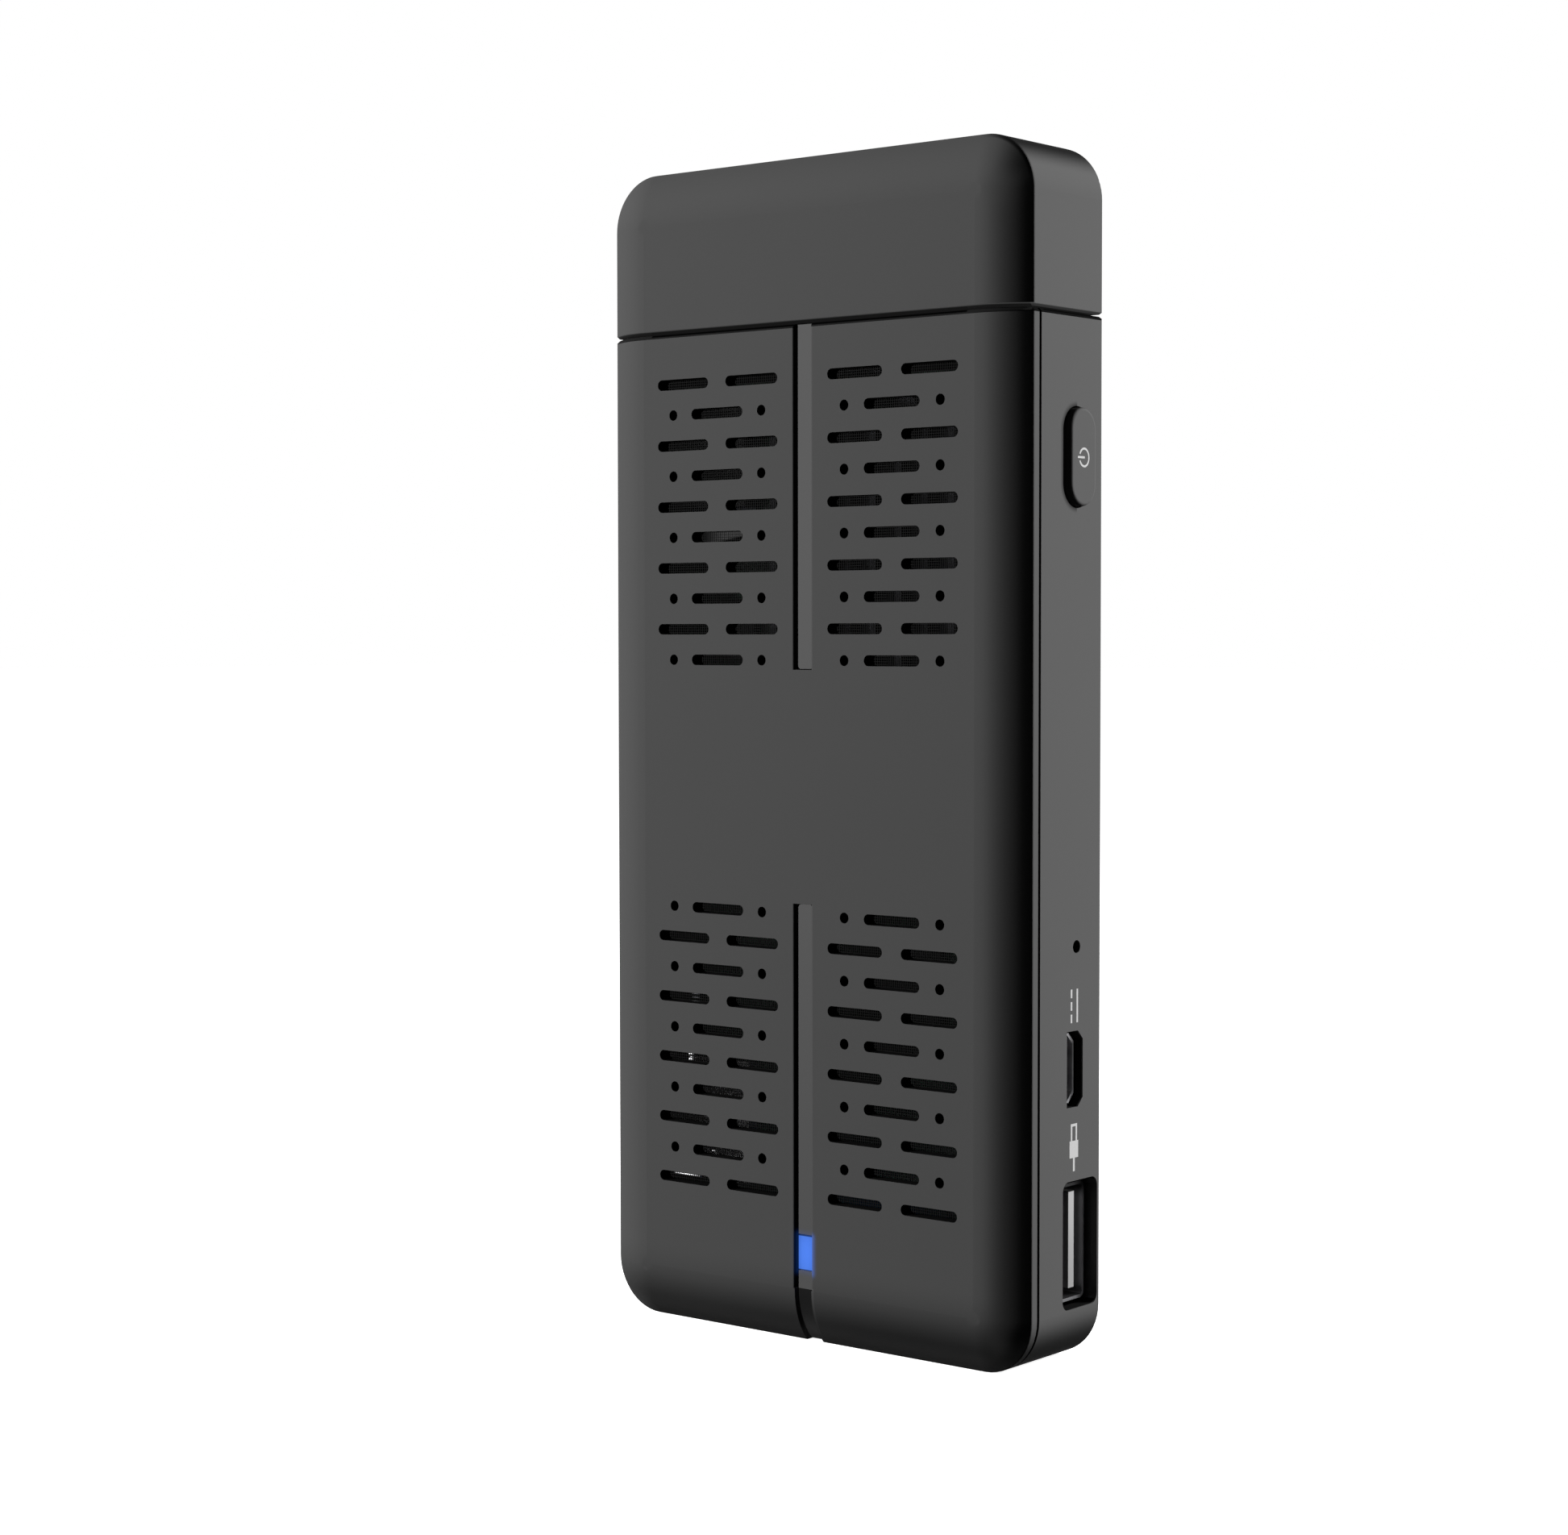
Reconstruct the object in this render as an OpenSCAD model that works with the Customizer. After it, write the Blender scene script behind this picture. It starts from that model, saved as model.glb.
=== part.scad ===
// Stick computer: a vented two-part case with an HDMI plug under a pull-off cap.
// It stands on its bottom end: X runs across the front, Y towards the back and
// Z along the stick to the plug. The vented front faces -Y and the ports face +X.
// Depths are measured back from the front face, which lies at y = -case_t / 2.

/* [Case] */
// Width across the case
case_w = 60.4; // [56:0.1:68]
// Thickness from front to back
case_t = 15.6; // [15.2:0.1:18]
// Length of the body from its bottom end to the cap seam
body_l = 116.5; // [110:0.5:130]
// Corner radius seen from the front
corner_r = 6.3; // [5:0.1:7.5]
// How far the rounded front edge falls back
edge_drop = 2.27; // [1.8:0.01:2.5]
// Rounding of the crease between the front edge and the side
crease_r = 0.25; // [0.1:0.05:0.4]
// Rounding of the back edge
back_r = 0.25; // [0.2:0.05:0.8]
// Wall of the front and the sides
wall = 1.8; // [1.6:0.1:2.2]
// Wall of the back
back_wall = 1.1; // [0.9:0.1:1.6]
// Depth of the parting line between the covers
parting_d = 3.4; // [3.2:0.05:4]
// Open width of the parting line
parting_gap = 0.25; // [0.1:0.05:0.4]
// Height of the locating lip on the rear cover
lip_h = 1; // [0.6:0.1:1.2]
// Thickness of the locating lip
lip_t = 0.9; // [0.7:0.05:1]
// Length of each snap tab
tab_l = 6; // [4:0.5:9]
// Thickness of each snap tab
tab_t = 1; // [0.8:0.1:1.4]
// Heights of the snap tabs' middles
tab_places = [40, 66, 100];
// How far a snap tab reaches behind the parting line
tab_reach = 2.8; // [2.4:0.1:3.4]
// How far a snap tab's hook stands out
hook = 0.5; // [0.3:0.1:0.7]

/* [Cap and neck] */
// Length of the cap
cap_l = 18.9; // [16.5:0.1:26]
// Open width of the seam between body and cap
seam_gap = 0.2; // [0.1:0.05:0.4]
// Bevel on both edges of the seam
bevel = 0.3; // [0.2:0.05:0.5]
// Thickness of the end plate
plate_t = 2.2; // [1.6:0.1:3]
// How far the neck reaches into the cap
neck_l = 4.5; // [3:0.5:7]
// Wall of the neck
neck_wall = 1.4; // [1:0.1:2]

/* [Vents] */
// Rows in each block of vents
vent_rows = 10; // [6:2:10]
// Distance from row to row
vent_pitch = 3.575; // [3:0.025:3.8]
// Length of a slot
vent_slot_l = 7.74; // [6:0.02:8.5]
// Width of a slot and of a dot
vent_slot_w = 1.24; // [0.8:0.02:1.6]
// Distance of a vent column's middle from the centre line
vent_column_x = 12.675; // [12:0.005:13]
// Half the distance between the two slots of a row
vent_pair_x = 5.185; // [4.8:0.005:5.4]
// Half the distance between the two dots of a row
vent_dot_x = 6.665; // [6:0.005:7]
// Distance of the top row from the cap seam
vent_top = 5.9; // [4:0.1:8]
// Height of the bottom row above the bottom end
vent_bottom = 17.23; // [16:0.01:22]
// Thickness of the dust screens
mesh_t = 0.3; // [0.2:0.05:0.5]
// How far a dust screen reaches past the vents
mesh_margin = 1.6; // [1:0.1:2.5]

/* [Centre strip] */
// Width of the centre channel
channel_w = 2.44; // [2.4:0.02:4]
// Rounding of the channel's long edges
channel_r = 0.25; // [0.1:0.05:0.4]
// Depth of the strips' face below the front
strip_recess = 0.65; // [0.3:0.05:0.8]
// Thickness of the strips
strip_t = 0.45; // [0.3:0.05:0.6]
// Corner radius of the channel's ends
channel_end_r = 0.4; // [0.2:0.05:0.8]
// Length of the upper channel from the cap seam
upper_channel_l = 39.15; // [20:0.05:42]
// Height of the lower channel's top end
lower_channel_z = 50.65; // [30:0.05:54]
// Height of the status light's middle
window_z = 10.45; // [9.5:0.01:12]
// Length of the status light
window_l = 4.05; // [3:0.05:5]
// Width of the light pipe's stem
stem_w = 1.8; // [1.2:0.1:2]
// Length of the light pipe's stem
stem_l = 3.2; // [2:0.1:3.6]
// Height of the status light's source on the board
status_led_h = 0.6; // [0.4:0.05:0.8]

/* [Power button] */
// Length of the button
button_l = 10.8; // [8:0.05:13]
// Width of the button
button_w = 5; // [4:0.1:6]
// How far the button stands out
button_rise = 0.95; // [0.6:0.01:1.4]
// Rounding of the button's rim
button_r = 0.4; // [0.2:0.05:0.6]
// Distance of the button's middle from the cap seam
button_top = 15.72; // [14:0.01:20]
// How far the button moves
button_travel = 0.5; // [0.2:0.05:0.6]
// How far the button's flange reaches past its ends
flange_reach = 1; // [0.6:0.1:1.4]
// Thickness of the flange
flange_t = 0.8; // [0.6:0.05:1]
// Length of the nub that meets the switch
nub_l = 0.7; // [0.5:0.05:0.9]

/* [Switches] */
// Height of the power switch on the board
power_switch_h = 3.6; // [3.4:0.1:4.2]
// Height of the reset switch on the board
reset_switch_h = 4; // [3:0.1:4.6]
// Length of each switch body along the stick
switch_l = 6.5; // [5:0.5:8]
// Depth of each switch body from its face
switch_depth = 4.5; // [4:0.1:5]
// Diameter of the switch plungers
plunger_d = 2; // [1.6:0.1:2.4]
// How deep a plunger sits in its switch
plunger_seat = 0.7; // [0.5:0.05:0.9]
// How far a plunger stands out of its switch
plunger_out = 1; // [0.8:0.05:1.2]
// Diameter of the pinhole
pinhole_d = 1.45; // [1:0.05:1.8]
// Height of the pinhole
pinhole_z = 46.84; // [42:0.01:54]
// Distance of the reset plunger behind the wall
reset_gap = 0.7; // [0.4:0.05:1]
// How far the reset plunger moves
reset_travel = 0.25; // [0.15:0.05:0.4]

/* [USB socket] */
// Width of the socket's shell
usb_w = 13.2; // [12.8:0.05:13.6]
// Height of the socket's shell
usb_h = 5.7; // [5.4:0.05:6]
// Length of the socket's shell
usb_l = 14; // [12:0.5:16]
// Corner radius of the shell
usb_r = 0.7; // [0.5:0.05:0.9]
// Sheet thickness of the shell
usb_sheet = 0.35; // [0.25:0.05:0.4]
// Height of the socket's middle
usb_z = 13.65; // [13.5:0.05:14.5]
// How far the socket's mouth lies behind the side face
usb_recess = 1.4; // [1.2:0.05:2.4]
// Clearance of the cut-out round the shell
usb_clear = 0.575; // [0.3:0.025:0.6]
// Corner radius of the cut-out
usb_cut_r = 1.1; // [0.8:0.05:1.4]
// Width of the tongue
usb_tongue_w = 10.9; // [10.5:0.1:11.5]
// Thickness of the tongue
usb_tongue_t = 1.1; // [1:0.05:1.84]
// Gap between the tongue and the shell behind it
usb_tongue_gap = 0.6; // [0.5:0.05:0.9]
// Setback of the tongue's tip from the mouth
usb_tongue_setback = 0.7; // [0.3:0.1:1.5]
// Length of the block that carries the tongue
usb_block_l = 4; // [3:0.5:5]
// Width of a socket contact
usb_pin_w = 1; // [0.8:0.05:1.1]
// Places of the socket contacts along the tongue
usb_pin_z = [-3.5, -1, 1, 3.5];

/* [Power socket] */
// Width of the micro-USB shell
micro_w = 7.8; // [7:0.05:8]
// Height of the micro-USB shell
micro_h = 2.45; // [2.4:0.05:3]
// Height of the feet that hold the shell off the board
micro_foot_h = 0.5; // [0.3:0.05:0.6]
// Width of a foot
micro_foot_w = 0.9; // [0.6:0.1:1.2]
// Length of the micro-USB shell
micro_l = 5.4; // [5:0.1:6]
// Sheet thickness of the shell
micro_sheet = 0.25; // [0.2:0.05:0.3]
// Slanted corner of the shell
micro_slant = 1; // [0.6:0.1:1.2]
// Height of the socket's middle
micro_z = 33.27; // [32:0.01:36]
// How far the socket's mouth lies behind the side face
micro_recess = 1; // [0.6:0.1:1.4]
// Clearance of the cut-out round the shell
micro_clear = 0.35; // [0.2:0.05:0.5]
// Width of the tongue
micro_tongue_w = 4.2; // [3.5:0.1:4.6]
// Thickness of the tongue
micro_tongue_t = 0.6; // [0.4:0.05:0.8]
// Length of the block that carries the tongue
micro_block_l = 1.6; // [1.2:0.1:2]
// Number of contacts
micro_pin_n = 5; // [4:1:5]
// Distance from contact to contact
micro_pitch = 0.65; // [0.6:0.05:0.7]

/* [HDMI plug] */
// Width of the plug
hdmi_w = 13.9; // [13.5:0.05:14.2]
// Height of the plug
hdmi_h = 4.45; // [4.3:0.05:4.6]
// Slanted corner of the plug
hdmi_slant = 1.3; // [1:0.1:1.6]
// Sheet thickness of the shell
hdmi_sheet = 0.3; // [0.2:0.05:0.4]
// How far the plug stands out of the end plate
hdmi_out = 12; // [10:0.5:13]
// Distance of the plug's root from the cap seam
hdmi_root = 5.5; // [4.5:0.1:7]
// Width of the slot in the plug
hdmi_slot_w = 11.9; // [11:0.1:12.4]
// Depth of the slot
hdmi_slot_l = 9; // [7:0.5:10]
// Width of a latch window in the shell
hdmi_latch_w = 1.4; // [1:0.1:1.8]
// Length of a latch window
hdmi_latch_l = 2.6; // [2:0.1:3]
// Distance of the latch windows from the centre line
hdmi_latch_x = 3.4; // [3:0.1:3.8]
// Distance of the latch windows from the mouth
hdmi_latch_top = 3.6; // [3:0.1:4.5]
// Setback of the insert from the mouth
hdmi_setback = 0.6; // [0.3:0.1:1]
// Contacts in the front row of the plug; the back row has one fewer
hdmi_contacts_n = 10; // [8:1:10]
// Distance from contact to contact
hdmi_pitch = 1; // [0.9:0.05:1.1]
// Length of the contact tails on the board
hdmi_tail_l = 2.5; // [1.5:0.1:3]

/* [Contacts] */
// Width of a plug contact
pin_w = 0.45; // [0.3:0.05:0.5]
// Thickness of the contacts
pin_t = 0.2; // [0.15:0.05:0.25]

/* [Board] */
// Thickness of the board
board_t = 1.2; // [1:0.1:1.6]
// Distance of the board's long edges from the side walls
board_margin = 1.6; // [1.4:0.1:2]
// Height of the board's bottom edge
board_z = 4.5; // [4:0.1:6]
// Corner radius of the board
board_r = 3; // [2:0.5:4]
// Diameter of the board screws
screw_d = 1.6; // [1.4:0.1:2]
// Length of the board screws under the head
screw_l = 4.4; // [3.5:0.1:5]
// Diameter of the screw heads
head_d = 3.4; // [3:0.1:4]
// Height of the screw heads
head_h = 1.1; // [0.8:0.1:1.4]
// Diameter of the bosses
boss_d = 4.6; // [4:0.1:5]
// Distance of the screws from the board's edges
screw_inset = 4.2; // [3.6:0.1:5]
// Height of the middle screw
screw_mid_z = 60; // [55:1:66]
// Distance of the upper screws from the centre line
screw_top_x = 9.6; // [9:0.1:10]
// Diameter of the front cover's posts on the board
post_d = 4; // [3:0.5:5]
// Distance of the posts from the centre line
post_x = 16; // [12:0.5:20]
// Height of the posts above the bottom end
post_z = 64; // [58:1:67]

/* [Chips and cooling] */
// Side of the processor
chip_w = 17; // [12:0.5:20]
// Height of the processor
chip_h = 1.1; // [0.8:0.1:1.3]
// Distance of the processor from the centre line
chip_x = 8; // [4:0.5:10]
// Distance of the processor's middle from the cap seam
chip_top = 26.5; // [24:0.5:30]
// Thickness of the thermal pad
pad_t = 0.5; // [0.3:0.1:0.8]
// Width of the heat sink
sink_w = 30; // [24:1:32]
// Length of the heat sink
sink_l = 32; // [24:1:34]
// Thickness of the heat sink's base
sink_base = 1.2; // [0.8:0.1:1.4]
// Number of fins
fin_n = 9; // [5:1:12]
// Thickness of a fin
fin_t = 0.9; // [0.6:0.1:1.2]
// Air gap between the fins and the dust screen
fin_gap = 0.6; // [0.3:0.1:1]
// Height of the memory, storage and power chips
low_chip_h = 1; // [0.8:0.1:1.2]
// Length of a memory chip
memory_w = 11; // [9:0.5:12]
// Width of a memory chip
memory_l = 8; // [6:0.5:9]
// Distance from memory chip to memory chip
memory_step = 13; // [12.5:0.5:16]
// Width of the storage chip
storage_w = 11.5; // [10:0.5:13]
// Length of the storage chip
storage_l = 13; // [11:0.5:14]
// Distance of the storage chip from the centre line
storage_x = 9; // [7:0.5:12]
// Height of the storage chip's middle above the bottom end
storage_z = 40; // [34:0.5:44]
// Side of the power chip
power_chip_w = 7; // [5:0.5:8]
// Distance of the power chip from the centre line
power_chip_x = 16; // [14:0.5:18]
// Height of the power chip's middle above the bottom end
power_chip_z = 82; // [80:0.5:84]
// Width of the crystal
crystal_w = 3.2; // [2:0.1:4]
// Length of the crystal
crystal_l = 2.5; // [1.6:0.1:3]
// Distance of the crystal from the centre line
crystal_x = 3; // [2:0.5:6]
// Side of an inductor
coil_w = 4; // [3:0.5:5]
// Height of an inductor
coil_h = 1.9; // [1.5:0.1:2.4]
// Number of inductors
coil_n = 3; // [2:1:3]
// Distance from inductor to inductor
coil_step = 6; // [5.5:0.5:7]
// Height of the row of inductors above the bottom end
coil_z = 72; // [70:0.5:74]
// Length of a capacitor
cap_chip_l = 1.6; // [1:0.1:2]
// Number of capacitors in the row
cap_chip_n = 8; // [4:1:10]
// Distance from capacitor to capacitor
cap_chip_step = 3; // [2:0.5:4]
// Height of the row of capacitors above the bottom end
cap_chip_z = 56; // [54:0.5:58]

/* [Radio] */
// Width of the radio module
radio_w = 12.5; // [11:0.5:14]
// Length of the radio module
radio_l = 13; // [11:0.5:14]
// Thickness of the radio module's own board
radio_board_t = 0.8; // [0.6:0.1:1]
// Height of the shield can
shield_h = 1.5; // [1.2:0.1:1.8]
// Sheet thickness of the shield can
shield_sheet = 0.2; // [0.15:0.05:0.3]
// Distance of the radio module from the board's edge
radio_inset = 1.85; // [1.5:0.05:2.5]
// Distance of the radio module's middle from the cap seam
radio_top = 14; // [13:0.5:15]
// Diameter of the antenna lead
lead_d = 1.13; // [0.8:0.01:1.4]
// Bend radius of the antenna lead
lead_bend = 4; // [3:0.5:5]
// Diameter of the antenna plug
lead_plug_d = 2.2; // [1.8:0.1:2.6]
// Height of the antenna plug
lead_plug_h = 1.5; // [1.4:0.1:2]
// Distance of the antenna plug from the radio module
lead_plug_gap = 2.85; // [2:0.05:3]
// Distance of the antenna plug from the cap seam
lead_plug_top = 22.1; // [21.5:0.1:23]
// Slope of the lead away from its plug
lead_slope = 9; // [4:1:12]
// Length of the antenna patch
antenna_l = 34; // [24:1:36]
// Width of the antenna patch
antenna_w = 7; // [5:0.5:7.5]
// Thickness of the antenna patch
antenna_t = 0.25; // [0.15:0.05:0.4]
// Height of the antenna patch's lower end
antenna_z = 52; // [48:1:54]

/* [Card socket] */
// Length of the card socket into the case
card_l = 14.7; // [14:0.1:16]
// Width of the card socket
card_w = 14.5; // [14:0.1:15]
// Height of the card socket
card_h = 1.6; // [1.5:0.1:1.9]
// Height of the card socket's middle above the bottom end
card_z = 23.55; // [22:0.05:26]
// Width of the card slot
card_slot_w = 11.4; // [11.2:0.1:12]
// Height of the card slot
card_slot_h = 0.9; // [0.8:0.05:1]
// Clearance of the slot in the case round the card
card_clear = 0.2; // [0.1:0.05:0.3]

/* [Fits] */
// Clearance of the lip, the end plate and other fixed fits
fit = 0.1; // [0.05:0.01:0.15]
// Clearance between the cap and its neck
cap_fit = 0.15; // [0.1:0.01:0.2]
// Clearance round the button
button_fit = 0.2; // [0.15:0.01:0.3]
// Clearance round the plungers
plunger_fit = 0.15; // [0.1:0.01:0.2]
// Clearance of the strips in the channel
strip_fit = 0.1; // [0.05:0.01:0.15]
// Clearance under seated parts
seat = 0.03; // [0.02:0.01:0.05]

/* [Hidden] */
$fn = 96;
past = 1;
tube_sides = 16;
bend_steps = 10;
edge_arc_r = (corner_r * corner_r + edge_drop * edge_drop) / (2 * edge_drop);
axis_x = case_w / 2 - corner_r;
side_x = case_w / 2;
inner_x = side_x - wall;
inner_back = case_t - back_wall;
total_l = body_l + seam_gap + cap_l;
front_rim_d = parting_d - parting_gap / 2;
rear_rim_d = parting_d + parting_gap / 2;
lip_inset = wall - lip_t;
lip_top_d = parting_d - lip_h;
channel_depth = strip_recess + strip_t;
strip_w = channel_w - 2 * strip_fit;
upper_channel_z = body_l - upper_channel_l;
block_l = (vent_rows - 1) * vent_pitch;
upper_vent_z = body_l - vent_top;
lower_vent_z = vent_bottom + block_l;
mesh_w = 2 * (vent_column_x + vent_pair_x) + vent_slot_l + 2 * mesh_margin;
mesh_l = block_l + vent_slot_w + 2 * mesh_margin;
mesh_back_d = wall + mesh_t;
board_back_d = inner_back - usb_h - seat;
board_front_d = board_back_d - board_t;
board_w = 2 * (inner_x - board_margin);
board_top_z = body_l - hdmi_root;
board_l = board_top_z - board_z;
plug_d = board_front_d + board_t / 2;
plug_tip_z = body_l + hdmi_out;
hdmi_slot_h = board_t + 2 * pin_t;
usb_d = board_back_d + usb_h / 2;
usb_mouth_x = side_x - usb_recess;
usb_tongue_d = board_back_d + usb_h - usb_sheet - usb_tongue_gap - usb_tongue_t / 2;
micro_d = board_back_d + micro_foot_h + micro_h / 2;
micro_mouth_x = side_x - micro_recess;
button_z = body_l - button_top;
button_d = board_back_d + power_switch_h / 2;
nub_x = inner_x - flange_t - nub_l;
power_face_x = nub_x - plunger_out;
reset_d = board_back_d + reset_switch_h / 2;
reset_face_x = inner_x - reset_gap - plunger_out;
screw_x = board_w / 2 - screw_inset;
screw_places = [
  [-screw_x, board_z + screw_inset],
  [-screw_top_x, board_top_z - screw_inset],
  [screw_x, screw_mid_z],
  [screw_top_x, board_top_z - screw_inset]
];
chip_z = body_l - chip_top;
chip_face_d = board_front_d - chip_h;
sink_back_d = chip_face_d - pad_t;
sink_front_d = sink_back_d - sink_base;
fin_front_d = mesh_back_d + fin_gap;
radio_edge_x = max(board_w / 2 - radio_inset, screw_top_x + head_d / 2 + 2 * fit + radio_w);
radio_x = radio_edge_x - radio_w / 2;
radio_z = body_l - radio_top;
lead_plug_x = radio_x - radio_w / 2 - lead_plug_gap;
lead_d_mid = board_front_d - lead_plug_h + lead_d / 2;
lead_plug_z = body_l - lead_plug_top;
lead_down_x = -(inner_x - antenna_t - lead_d / 2 - seat);
antenna_front_d = parting_d + tab_reach + 2 * fit;
card_mouth_x = -(board_w / 2 + board_margin / 2);
card_d = board_front_d - card_h / 2;
status_led_d = board_front_d - status_led_h;
case_grey = [0.29, 0.29, 0.29];
chip_black = [0.1, 0.1, 0.11];
tin = [0.75, 0.75, 0.77];
gold = [0.85, 0.68, 0.3];

// Places a shape that was drawn with depth 0 on the front face
module in_case() {
  translate([0, -case_t / 2, 0]) children();
}

// Extrudes an outline drawn in x and z from depth d0 to depth d1
module through_front(d0, d1) {
  translate([0, d1, 0]) rotate([90, 0, 0]) linear_extrude(d1 - d0) children();
}

// Extrudes an outline drawn in depth and z from x0 to x1
module through_side(x0, x1) {
  translate([x0, 0, 0]) rotate([90, 0, 90]) linear_extrude(x1 - x0) children();
}

// Block between two depths, two heights and two x places
module block(x, d, z) {
  translate([x[0], d[0], z[0]]) cube([x[1] - x[0], d[1] - d[0], z[1] - z[0]]);
}

// Rectangle with rounded corners about the origin
module rounded_rect(w, h, r) {
  square([w - 2 * r, h], center = true);
  square([w, h - 2 * r], center = true);
  for (sx = [-1, 1], sy = [-1, 1]) translate([sx * (w / 2 - r), sy * (h / 2 - r)]) circle(r);
}

// Bar with round ends about the origin, along the first axis
module stadium(l, w) {
  square([l - w, w], center = true);
  for (s = [-1, 1]) translate([s * (l - w) / 2, 0]) circle(d = w);
}

// Rectangle with two slanted corners at its far side, as on these sockets and plugs
module slanted_rect(w, h, slant) {
  polygon([[-w / 2, -h / 2], [w / 2, -h / 2], [w / 2, h / 2 - slant], [w / 2 - slant, h / 2],
    [-w / 2 + slant, h / 2], [-w / 2, h / 2 - slant]]);
}

// Waste outside the rounding between the front edge's arc and the side
module crease_waste() {
  mid = [corner_r - crease_r,
    edge_arc_r - sqrt(pow(edge_arc_r - crease_r, 2) - pow(corner_r - crease_r, 2))];
  out = (mid - [0, edge_arc_r]) * 3 * crease_r / (edge_arc_r - crease_r);
  difference() {
    polygon([mid, mid + out, mid + [3 * crease_r, out[1]], mid + [3 * crease_r, 0]]);
    translate(mid) circle(crease_r);
  }
}

// Waste outside the rounding of the back edge
module back_waste() {
  translate([corner_r - back_r, case_t - back_r]) difference() {
    square(2 * back_r);
    circle(back_r);
  }
}

// Section of the case's edge, drawn outwards from the corner axis and back from the front.
// An inset gives the surface that lies that far inside the outer one.
module edge_section(inset, back_inset) {
  difference() {
    intersection() {
      translate([0, inset]) square([corner_r - inset, case_t - inset - back_inset]);
      translate([0, edge_arc_r]) circle(edge_arc_r - inset);
    }
    if (inset == 0) crease_waste();
    if (inset == 0) back_waste();
  }
}

// Whole cross-section of the case
module case_section(inset, back_inset) {
  for (side = [0, 1]) mirror([side, 0]) translate([axis_x, 0]) edge_section(inset, back_inset);
  translate([-axis_x, inset]) square([2 * axis_x, case_t - inset - back_inset]);
}

// Solid of the case with its rounded end at z = 0 and a square end at z = length
module rounded_form(inset, back_inset, length) {
  translate([0, 0, corner_r]) linear_extrude(length - corner_r) case_section(inset, back_inset);
  translate([-axis_x, 0, corner_r]) rotate([0, 90, 0]) linear_extrude(2 * axis_x)
    edge_section(inset, back_inset);
  for (side = [0, 1]) mirror([side, 0, 0]) translate([axis_x, 0, corner_r]) rotate([-90, 0, 0])
    rotate_extrude(angle = 90) edge_section(inset, back_inset);
}

// Stock that bevels the square end of the form, its base at z = 0
module bevel_stock() {
  intersection() {
    through_front(-past, case_t + past)
      polygon([[-side_x, 0], [side_x, 0], [side_x - bevel, bevel], [bevel - side_x, bevel]]);
    through_side(-case_w, case_w)
      polygon([[-past, 0], [case_t, 0], [case_t - bevel, bevel], [-past, bevel]]);
    union() {
      for (s = [-1, 1]) translate([s * axis_x, edge_arc_r, 0])
        cylinder(h = bevel, r1 = edge_arc_r, r2 = edge_arc_r - bevel);
      through_side(-axis_x, axis_x) polygon([[0, 0], [case_t, 0], [case_t, bevel], [bevel, bevel]]);
    }
  }
}

// Outer form of the body or the cap, with its bevelled seam edge
module outer_form(length) {
  intersection() {
    rounded_form(0, 0, length);
    union() {
      block([-case_w, case_w], [-past, case_t + past], [-past, length - bevel]);
      translate([0, 0, length - bevel]) bevel_stock();
    }
  }
}

// Half of the body in front of or behind the parting line, hollowed
module body_shell(d0, d1) {
  difference() {
    intersection() {
      outer_form(body_l);
      block([-case_w, case_w], [d0, d1], [-past, body_l + past]);
    }
    rounded_form(wall, back_wall, body_l + past);
  }
}

// Band of the case between two insets and two depths, all round the body
module rim_band(inset, d0, d1) {
  intersection() {
    difference() {
      rounded_form(inset, back_wall, body_l);
      rounded_form(wall, back_wall, body_l + past);
    }
    block([-case_w, case_w], [d0, d1], [-past, body_l + past]);
  }
}

// Region in the middle of the bottom edge that the channel's foot needs
module foot_region(grow) {
  half = channel_w / 2 + wall / 2 + grow;
  block([-half, half], [-past, parting_d + past], [-past, corner_r]);
}

// One block of vents, its first row at the origin
module vent_block(pairs_first) {
  for (column = [-1, 1], row = [0:vent_rows - 1])
    translate([column * vent_column_x, -row * vent_pitch])
      if ((row % 2 == 0) == pairs_first) {
        for (s = [-1, 1]) translate([s * vent_pair_x, 0]) stadium(vent_slot_l, vent_slot_w);
      } else {
        stadium(vent_slot_l, vent_slot_w);
        for (s = [-1, 1]) translate([s * vent_dot_x, 0]) circle(d = vent_slot_w);
      }
}

// Outline of the middle of the case from its side, with only its front at an inset
module length_section(inset) {
  translate([-corner_r, 0]) intersection() {
    square([corner_r, case_t]);
    translate([0, edge_arc_r]) circle(edge_arc_r - inset);
  }
  translate([-total_l, inset]) square([total_l - corner_r, case_t - inset]);
}

// Bar across the middle that follows the front and its bottom edge between two insets
module front_band(w, inset0, inset1) {
  translate([-w / 2, 0, 0]) rotate([0, 90, 0]) linear_extrude(w) difference() {
    intersection() {
      if (inset0 < 0) translate([-total_l, -past]) square([total_l + past, case_t]);
      if (inset0 >= 0) length_section(inset0);
      translate([-total_l, -past]) square([total_l + past, front_rim_d + past]);
    }
    length_section(inset1);
  }
}

// Front outline of the upper and lower channels, smaller by a clearance
module upper_outline(clear) {
  l = upper_channel_l - clear;
  translate([0, body_l - l / 2 + past]) rounded_rect(channel_w - 2 * clear, l + 2 * past, channel_end_r);
}

module lower_outline(clear) {
  l = lower_channel_z - clear;
  translate([0, l / 2 - past]) rounded_rect(channel_w - 2 * clear, l + 2 * past, channel_end_r);
}

// Flare that rounds the long edges of the channels
module channel_flare() {
  difference() {
    square([channel_w + 2 * channel_r, 2 * channel_r], center = true);
    for (s = [-1, 1]) translate([s * (channel_w / 2 + channel_r), channel_r]) circle(channel_r);
  }
}

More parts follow.
